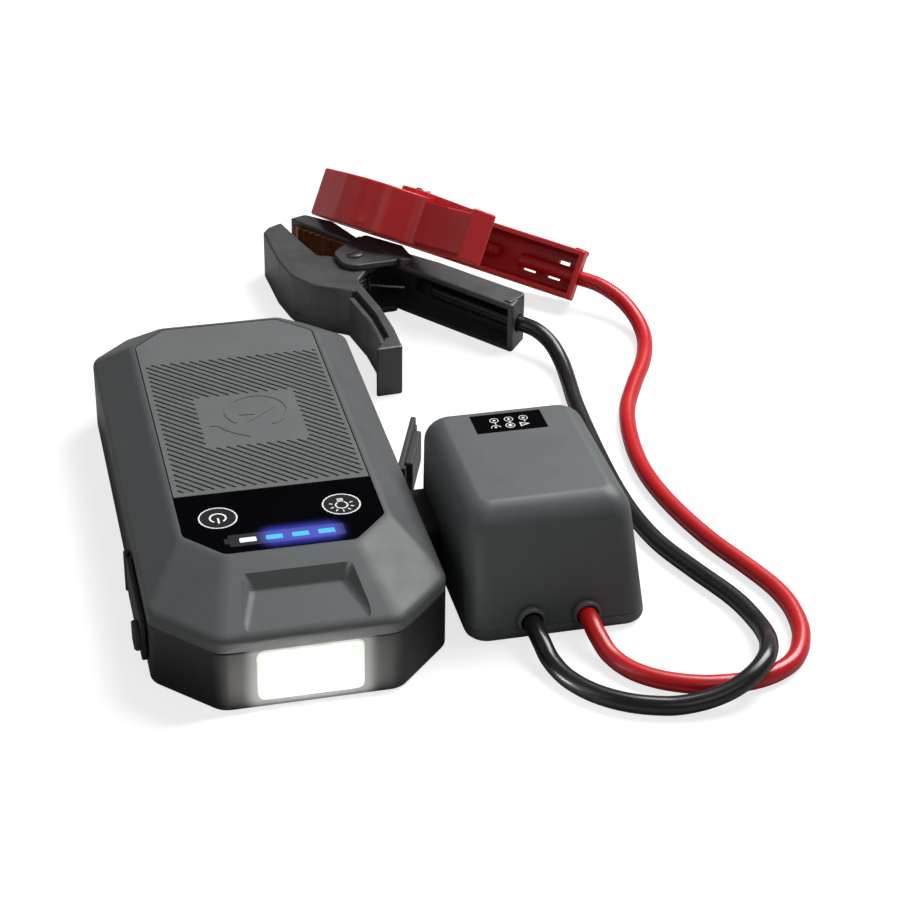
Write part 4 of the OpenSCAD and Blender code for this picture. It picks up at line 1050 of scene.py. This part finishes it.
def cable_shell():
    top = JAW_H + 0.25
    body = plate("cable_half", [rounded(CABLE_OUT, CABLE_ROUND, 12)], 0, JAW_H, 0.7, None, 3)
    cut(body, plate("hollow", [rounded(CABLE_HOLLOW, [1, 1.5, 6, 9, 8, 1.5, 1, 1, 1, 1, 1], 5)], JAW_WALL,
                    JAW_H - JAW_WALL))
    add(body, plate("ear_low", [rounded(EAR, EAR_ROUND, 5)], 0.01, 2.3, 0.25),
        plate("ear_high", [rounded(EAR, EAR_ROUND, 5)], top, top + 2.3, 0.4),
        plate("step", [rounded(EAR_STEP, 1, 3)], JAW_H - 1.9, top + 2.28, 0.3),
        along_grip(-36, -1.4, 3.0, 4.4, 15.6, 16.8, "rail_high", 0.25),
        along_grip(-36, -1.4, 3.0, 4.4, 3.2, 4.4, "rail_low", 0.25),
        along_grip(-3.6, -0.4, -4.6, 3.6, 18.6, JAW_H + 0.6, "end_block", 0.35))
    way_out = move(GRIP_X, GRIP_Y, JAW_H / 2) @ GRIP_TURN @ turn(90, "Y")
    cut(body, disc(2.5, -1, JAW_H + 10), disc(9.4, 2.31, top - 0.01), disc(3.5, -12, 12, 40, way_out),
        along_grip(-26, -20, 2, 12, 6.0, 7.4, "slit_a", 0.3),
        along_grip(-15, -9, 2, 12, 6.0, 7.4, "slit_b", 0.3),
        along_grip(-12, -7, 2, 12, 12.8, 14.2, "slit_c", 0.3))
    return soften(body, 0.22, 2, 42)


def contact_strip(length):
    """Toothed strip along +X with its teeth towards -Y, in the jaw's own frame."""
    teeth, foot, t, h = 6, 7.0, 1.2, 1.5
    pitch = (length - foot - 1) / teeth
    profile = [(0, 0), (0, -t)]
    for i in range(teeth):
        profile += [(foot + i * pitch, -t), (foot + (i + 0.5) * pitch, -t - h)]
    profile += [(length - 1, -t), (length, -t), (length, 0)]
    return plate("contact", [rounded(profile, 0.25, 2)], 2.2, 17.8, 0.25)


def rivet_piece():
    """Domed head under the strip's foot with its shank, in the contact's frame."""
    lay = move(3.5, -1.2, JAW_H / 2) @ turn(90, "X")
    return turned("rivet", [(0, -7.2), (1.6, -7.2), (1.6, 0), (2.8, 0), (2.75, 0.4), (2.4, 0.85), (1.7, 1.1),
                            (0.9, 1.18), (0, 1.2)], 32, lay)


def spring_path():
    """One wire: leg on the cable half, coil, leg on the thumb half."""
    r, z0, z1, steps, start, end = 5.2, 7.2, 14.6, 104, 70, 172 + 360 * 4
    coil = [Vector((*polar(start + (end - start) * k / steps, r), z0 + (z1 - z0) * k / steps))
            for k in range(steps + 1)]
    out, away = Vector((*polar(-20, 1), 0)), Vector((*polar(-98, 1), 0))
    return [coil[0] + out * d for d in (19, 12, 5)] + coil + [coil[-1] + away * d for d in (6, 13, 19)]


def pin_piece():
    base, top = JAW_H + 2.55, JAW_H + 3.65
    pin = turned("pin", [(0, 0.05), (2.2, 0.05), (2.5, 0.35), (2.5, base), (3.1, base), (3.2, base + 0.3),
                         (3.05, base + 0.75), (2.7, top - 0.08), (2.2, top), (0, top)], 40)
    return cut(pin, placed(brick("slot", (-6, -0.6, top - 0.6), (6, 0.6, top + 1)), turn(35, "Z")))


def lug_piece():
    """Crimped barrel with a tongue, along the cable."""
    place = move(GRIP_X - LUG_BACK * GRIP_DIR.x, GRIP_Y - LUG_BACK * GRIP_DIR.y, JAW_H / 2) @ GRIP_TURN
    barrel = turned("lug", [(0, 0), (2.6, 0), (2.8, 0.2), (2.8, 1.4), (2.5, 1.8), (2.5, 3.0), (2.8, 3.4),
                            (2.8, 5.0), (2.6, 6.2), (2.0, 7.0), (0, 7.0)], 32, place @ turn(-90, "Y"))
    tongue = along_grip(-LUG_BACK - 15, -LUG_BACK - 6.6, -0.8, 0.8, 7.5, 12.5, "tongue", 0.25)
    return add(barrel, tongue)


def contact_place(side):
    if side == "thumb":
        return move(-14.6, 9.4, 0) @ turn(107, "Z")
    return move(1.2, 20.6, 0) @ turn(127, "Z") @ Matrix.Diagonal((1, -1, 1, 1))


def build_clamps():
    thumb, half, pin, lug, rivet = thumb_shell(), cable_shell(), pin_piece(), lug_piece(), rivet_piece()
    strip = contact_strip(28)

    def put(piece, name, place, on, finish, node, smooth=35):
        settle(clean(placed(copied(piece, name), place)), on, finish, [node], smooth)

    for colour, thumb_place, cable_place in (("black", BLACK_PLACE, BLACK_PLACE),
                                             ("red", RED_PLACE, RED_CABLE_PLACE)):
        grip, body, lead = "grip_" + colour, colour + "_thumb", "jump_lead"
        put(thumb, body + "_shell", thumb_place, body, grip, body + "_handle")
        put(half, colour + "_cable_shell", cable_place, lead, grip, colour + "_cable_handle")
        put(pin, colour + "_pin", cable_place, lead,
            "screw_steel" if colour == "red" else "grip_black", colour + "_pivot_pin")
        put(lug, colour + "_lug", cable_place, lead, "cable_" + colour,
            colour + "_cable_lug")
        for side, place, on in (("thumb", thumb_place, body), ("cable", cable_place, lead)):
            name = f"{colour}_{side}"
            put(strip, name + "_strip", place @ contact_place(side), on, "contact_copper",
                name + "_contact", 25)
            put(rivet, name + "_rivet_head", place @ contact_place(side), on, "screw_steel",
                name + "_rivet")
        path = [cable_place @ p for p in spring_path()]
        coil = wire(colour + "_coil_spring", path, SPRING_WIRE_R, "spring_steel", 10)
        settle(coil, None, "spring_steel", [colour + "_spring"], 50)
        # the leg on the cable half stays with the lead, the leg on the thumb half goes with the thumb
        start = cable_place @ Vector((19, -2, 11))
        end = cable_place @ Vector((-8, -19, 11))
        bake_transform(coil, "jump_lead", body, tuple(start * MM), tuple(end * MM))
    drop(thumb, half, pin, lug, rivet, strip)


# ---- cables ----
def above_floor(point, least):
    return Vector((point.x, point.y, max(point.z, least)))


def build_cables():
    s = settings()
    for side, route in (("black", BLACK_ROUTE), ("red", RED_ROUTE)):
        curve = bpy.data.curves.new(side + "_jump_cable", "CURVE")
        curve.dimensions = "3D"
        spline = curve.splines.new("BEZIER")
        spline.bezier_points.add(len(route) - 1)
        points = [Vector(point) for point in route]
        for i, bp in enumerate(spline.bezier_points):
            here, before, after = points[i], points[max(i - 1, 0)], points[min(i + 1, len(points) - 1)]
            along = (after - before).normalized()
            bp.handle_left_type = bp.handle_right_type = "FREE"
            bp.co = here * MM
            bp.handle_left = above_floor(here - along * (here - before).length / 3, s.cable_d / 2) * MM
            bp.handle_right = above_floor(here + along * (after - here).length / 3, s.cable_d / 2) * MM
        curve.resolution_u = 6
        curve.bevel_depth = s.cable_d * MM / 2
        curve.bevel_resolution = 6
        curve.use_fill_caps = True
        cable = link(bpy.data.objects.new(side + "_jump_cable", curve))
        curve.materials.append(mats()["cable_" + side])
        bpy.context.view_layer.update()
        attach(cable, "jump_lead")
        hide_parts(side + "_cable")


# ---- inner pieces that keep their packed shape ----
def build_inner_parts():
    for node, body, key, edge in (
            ("jump_socket", "pack", "socket_blue", 0.3), ("usb_ports", "pack", "port_steel", 0.15),
            ("battery_cells", "pack", "cell_foil", 0.8), ("box_relays", "jump_lead", "relay_black", 0.4)):
        settle(cad_copy(node + "_shape", node, edge), body, key, [node])
    finish = {"gauge_leds": "print_white", "control_board": "board_green", "lamp_board": "board_green",
              "main_board": "board_green", "charging_coil": "coil_copper", "coil_shield": "shield_grey",
              "box_board": "board_green", "bus_bars": "contact_copper"}
    for node, key in finish.items():
        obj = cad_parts[node]
        for place in obj.material_slots:
            place.material = mats()[key]
        if not obj.material_slots:
            obj.data.materials.append(mats()[key])


# ---- stage ----
CAMERA_AT, CAMERA_LENS = (-0.09286, -0.65078, 0.41806), 92.33
CAMERA_RIGHT, CAMERA_UP = (0.9731, -0.2301, 0.01086), (0.10777, 0.49641, 0.86137)
FLOOR_HALF = 4


def area_light(name, power, size, at, aim, colour=(1, 1, 1), size_y=None):
    data = bpy.data.lights.new(name, "AREA")
    data.energy, data.size, data.color = power, size, colour
    if size_y:
        data.shape, data.size_y = "RECTANGLE", size_y
    light = link(bpy.data.objects.new(name, data))
    light.location = at
    light.rotation_euler = (Vector(aim) - Vector(at)).to_track_quat("-Z", "Y").to_euler()
    return light


def build_camera():
    camera = bpy.data.cameras.new("Camera")
    camera.lens, camera.sensor_width = CAMERA_LENS, 36
    camera.clip_start, camera.clip_end = 0.05, 20
    obj = link(bpy.data.objects.new("Camera", camera))
    x, y = Vector(CAMERA_RIGHT), Vector(CAMERA_UP)
    z = x.cross(y).normalized()
    axes = Matrix((x.normalized(), z.cross(x).normalized(), z))
    obj.matrix_world = move(*CAMERA_AT) @ axes.transposed().to_4x4()
    bpy.context.scene.camera = obj


def build_floor():
    """Pale floor that looks brighter to the camera than it lights the pieces."""
    rim = level(rect(-FLOOR_HALF, -FLOOR_HALF, FLOOR_HALF, FLOOR_HALF), 0)
    floor = mesh_object("floor", rim, [(0, 1, 2, 3)])
    mat, tree, shader, coords = new_material("Pale floor")
    tree.links.new(mixed(tree, noise(tree, coords, 900, 2), (0.34, 0.34, 0.34), (0.36, 0.36, 0.36)),
                   shader.inputs["Base Color"])
    shader.inputs["Roughness"].default_value = 0.9
    shader.inputs["Specular IOR Level"].default_value = 0.1
    shader.inputs["Emission Color"].default_value = (1, 1, 1, 1)
    ray = tree.nodes.new("ShaderNodeLightPath")
    tree.links.new(scaled(tree, ray.outputs["Is Camera Ray"], settings().floor_glow),
                   shader.inputs["Emission Strength"])
    floor.data.materials.append(mat)
    return floor


def build_stage():
    scene, s = bpy.context.scene, settings()
    build_camera()
    floor = build_floor()
    world = bpy.data.worlds.new("Soft room")
    scene.world = world
    world.use_nodes = True
    background = world.node_tree.nodes["Background"]
    background.inputs[0].default_value = (1, 1, 1, 1)
    background.inputs[1].default_value = s.room_light
    key = area_light("Key", s.key_power, 0.9, (0.8, 0.5, 1.15), (0.05, 0, 0.02))
    left = area_light("Left", s.side_power, 0.5, (-0.95, -0.25, 0.6), (0, 0, 0.02), (1, 1, 1), 0.9)
    front = area_light("Front", s.front_power, 0.6, (0.3, -1.1, 0.9), (0.05, -0.05, 0.02))
    lamp = area_light("Lamp beam", 0.25, 0.03, (0, -0.1, LAMP_Z * MM), (0, -0.4, 0), (1, 0.97, 0.9), 0.016)
    scene.view_settings.view_transform = "Standard"


# ---- add-on ----
# sizes: name, label, help, value, least, most
SIZES = (
    ("corner_round", "Corner rounding", "Rounding of the pack's outline, mm", 7.0, 3, 10),
    ("groove_pitch", "Groove pitch", "Distance between pad grooves, mm", 3.33, 2.5, 8),
    ("groove_width", "Groove width", "Width of a pad groove, mm", 0.75, 0.4, 2),
    ("groove_depth", "Groove depth", "Depth of a pad groove, mm", 0.42, 0.2, 0.8),
    ("cable_d", "Cable diameter", "Outside diameter of a cable, mm", 5.97, 5, 6.4),
)
COLOURS = (
    ("shell_grey", "Top cover", (0.076, 0.082, 0.084)),
    ("pad_grey", "Charging pad", (0.112, 0.118, 0.119)),
    ("box_grey", "Control box", (0.088, 0.098, 0.101)),
    ("case_black", "Lower case", (0.008, 0.008, 0.0085)),
    ("black_grip", "Black clamp", (0.034, 0.035, 0.037)),
    ("red_grip", "Red clamp", (0.62, 0.018, 0.022)),
    ("red_cable", "Red cable", (0.52, 0.008, 0.012)),
)
# lights: name, label, help, value, unit
LIGHTS = (
    ("lamp_strength", "Lamp", "Brightness of the lamp window", 0.82, "NONE"),
    # the two spill settings set the painted glow, round the lamp window and round the gauge
    ("lamp_spill", "Lamp spill", "Light round the lamp window", 0.24, "NONE"),
    ("gauge_strength", "Gauge", "Brightness of the gauge windows", 1.0, "NONE"),
    ("gauge_spill", "Gauge spill", "Blue light round the gauge", 0.9, "NONE"),
    ("room_light", "Room light", "Strength of the even light", 0.16, "NONE"),
    ("key_power", "Key light", "Power of the light above and behind", 34, "POWER"),
    ("side_power", "Side light", "Power of the light on the left", 1.6, "POWER"),
    ("front_power", "Front light", "Power of the light in front", 1.3, "POWER"),
    ("floor_glow", "Floor brightness", "Lifts the floor to a pale tone", 0.75, "NONE"),
)


def all_settings():
    made = {}
    for key, label, text, value, least, most in SIZES:
        made[key] = bpy.props.FloatProperty(name=label, description=text, default=value, min=least, max=most)
    for key, label, value in COLOURS:
        made[key] = bpy.props.FloatVectorProperty(name=label, description="Colour: " + label.lower(),
                                                  default=value, subtype="COLOR")
    for key, label, text, value, unit in LIGHTS:
        made[key] = bpy.props.FloatProperty(name=label, description=text, default=value, min=0, unit=unit)
    return made


class JumpStarterSettings(bpy.types.PropertyGroup):
    """Sizes, colours and lights that a user may change."""
    __annotations__ = all_settings()


def operator(idname, label, doc, *steps):
    """Operator class that runs the given builders."""
    def execute(self, context):
        for step in steps:
            step()
        return {"FINISHED"}
    name = "JUMPSTARTER_OT_" + idname
    return type(name, (bpy.types.Operator,), {
        "__doc__": doc, "bl_idname": "jumpstarter." + idname, "bl_label": label,
        "bl_options": {"REGISTER", "UNDO"}, "execute": execute})


OPERATORS = [
    operator("cables", "Cables", "Builds both cables from the box to the clamps", build_cables),
    operator("pack_shells", "Pack shells", "Builds the lower case and the top cover",
             build_lower_case, build_top_cover),
    operator("charging_pad", "Charging pad", "Builds the grooved charging pad", build_charging_pad),
    operator("controls", "Controls", "Builds the panel, the buttons and the battery gauge", build_controls),
    operator("lamp", "Lamp", "Builds the lit lamp window", build_lamp),
    operator("port_covers", "Port covers", "Builds both rubber port covers", build_port_covers),
    operator("control_box", "Control box", "Builds the box, its label and its grommets", build_box),
    operator("plug", "Plug", "Builds the plug and its pins", build_plug),
    operator("screws", "Screws", "Builds the screws of the pack and the box", build_screws),
    operator("clamps", "Clamps", "Builds both battery clamps", build_clamps),
    operator("inner_parts", "Inner parts", "Gives the inner pieces their finishes", build_inner_parts),
    operator("stage", "Stage", "Builds the floor, the lights and the camera", build_stage),
]


class JUMPSTARTER_PT_panel(bpy.types.Panel):
    """Buttons for each piece of the jump starter"""
    bl_label = "Jump starter"
    bl_idname = "JUMPSTARTER_PT_panel"
    bl_space_type = "VIEW_3D"
    bl_region_type = "UI"
    bl_category = "Jump starter"

    def draw(self, context):
        for name in JumpStarterSettings.__annotations__:
            self.layout.prop(context.scene.jump_starter, name)
        for op in OPERATORS:
            self.layout.operator(op.bl_idname)


CLASSES = [JumpStarterSettings, *OPERATORS, JUMPSTARTER_PT_panel]


def register():
    for cls in CLASSES:
        bpy.utils.register_class(cls)
    bpy.types.Scene.jump_starter = bpy.props.PointerProperty(type=JumpStarterSettings)


def unregister():
    del bpy.types.Scene.jump_starter
    for cls in reversed(CLASSES):
        bpy.utils.unregister_class(cls)


def main():
    register()
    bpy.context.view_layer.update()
    for op in OPERATORS:
        getattr(bpy.ops.jumpstarter, op.bl_idname.split(".")[1])()


if __name__ == "__main__":
    main()
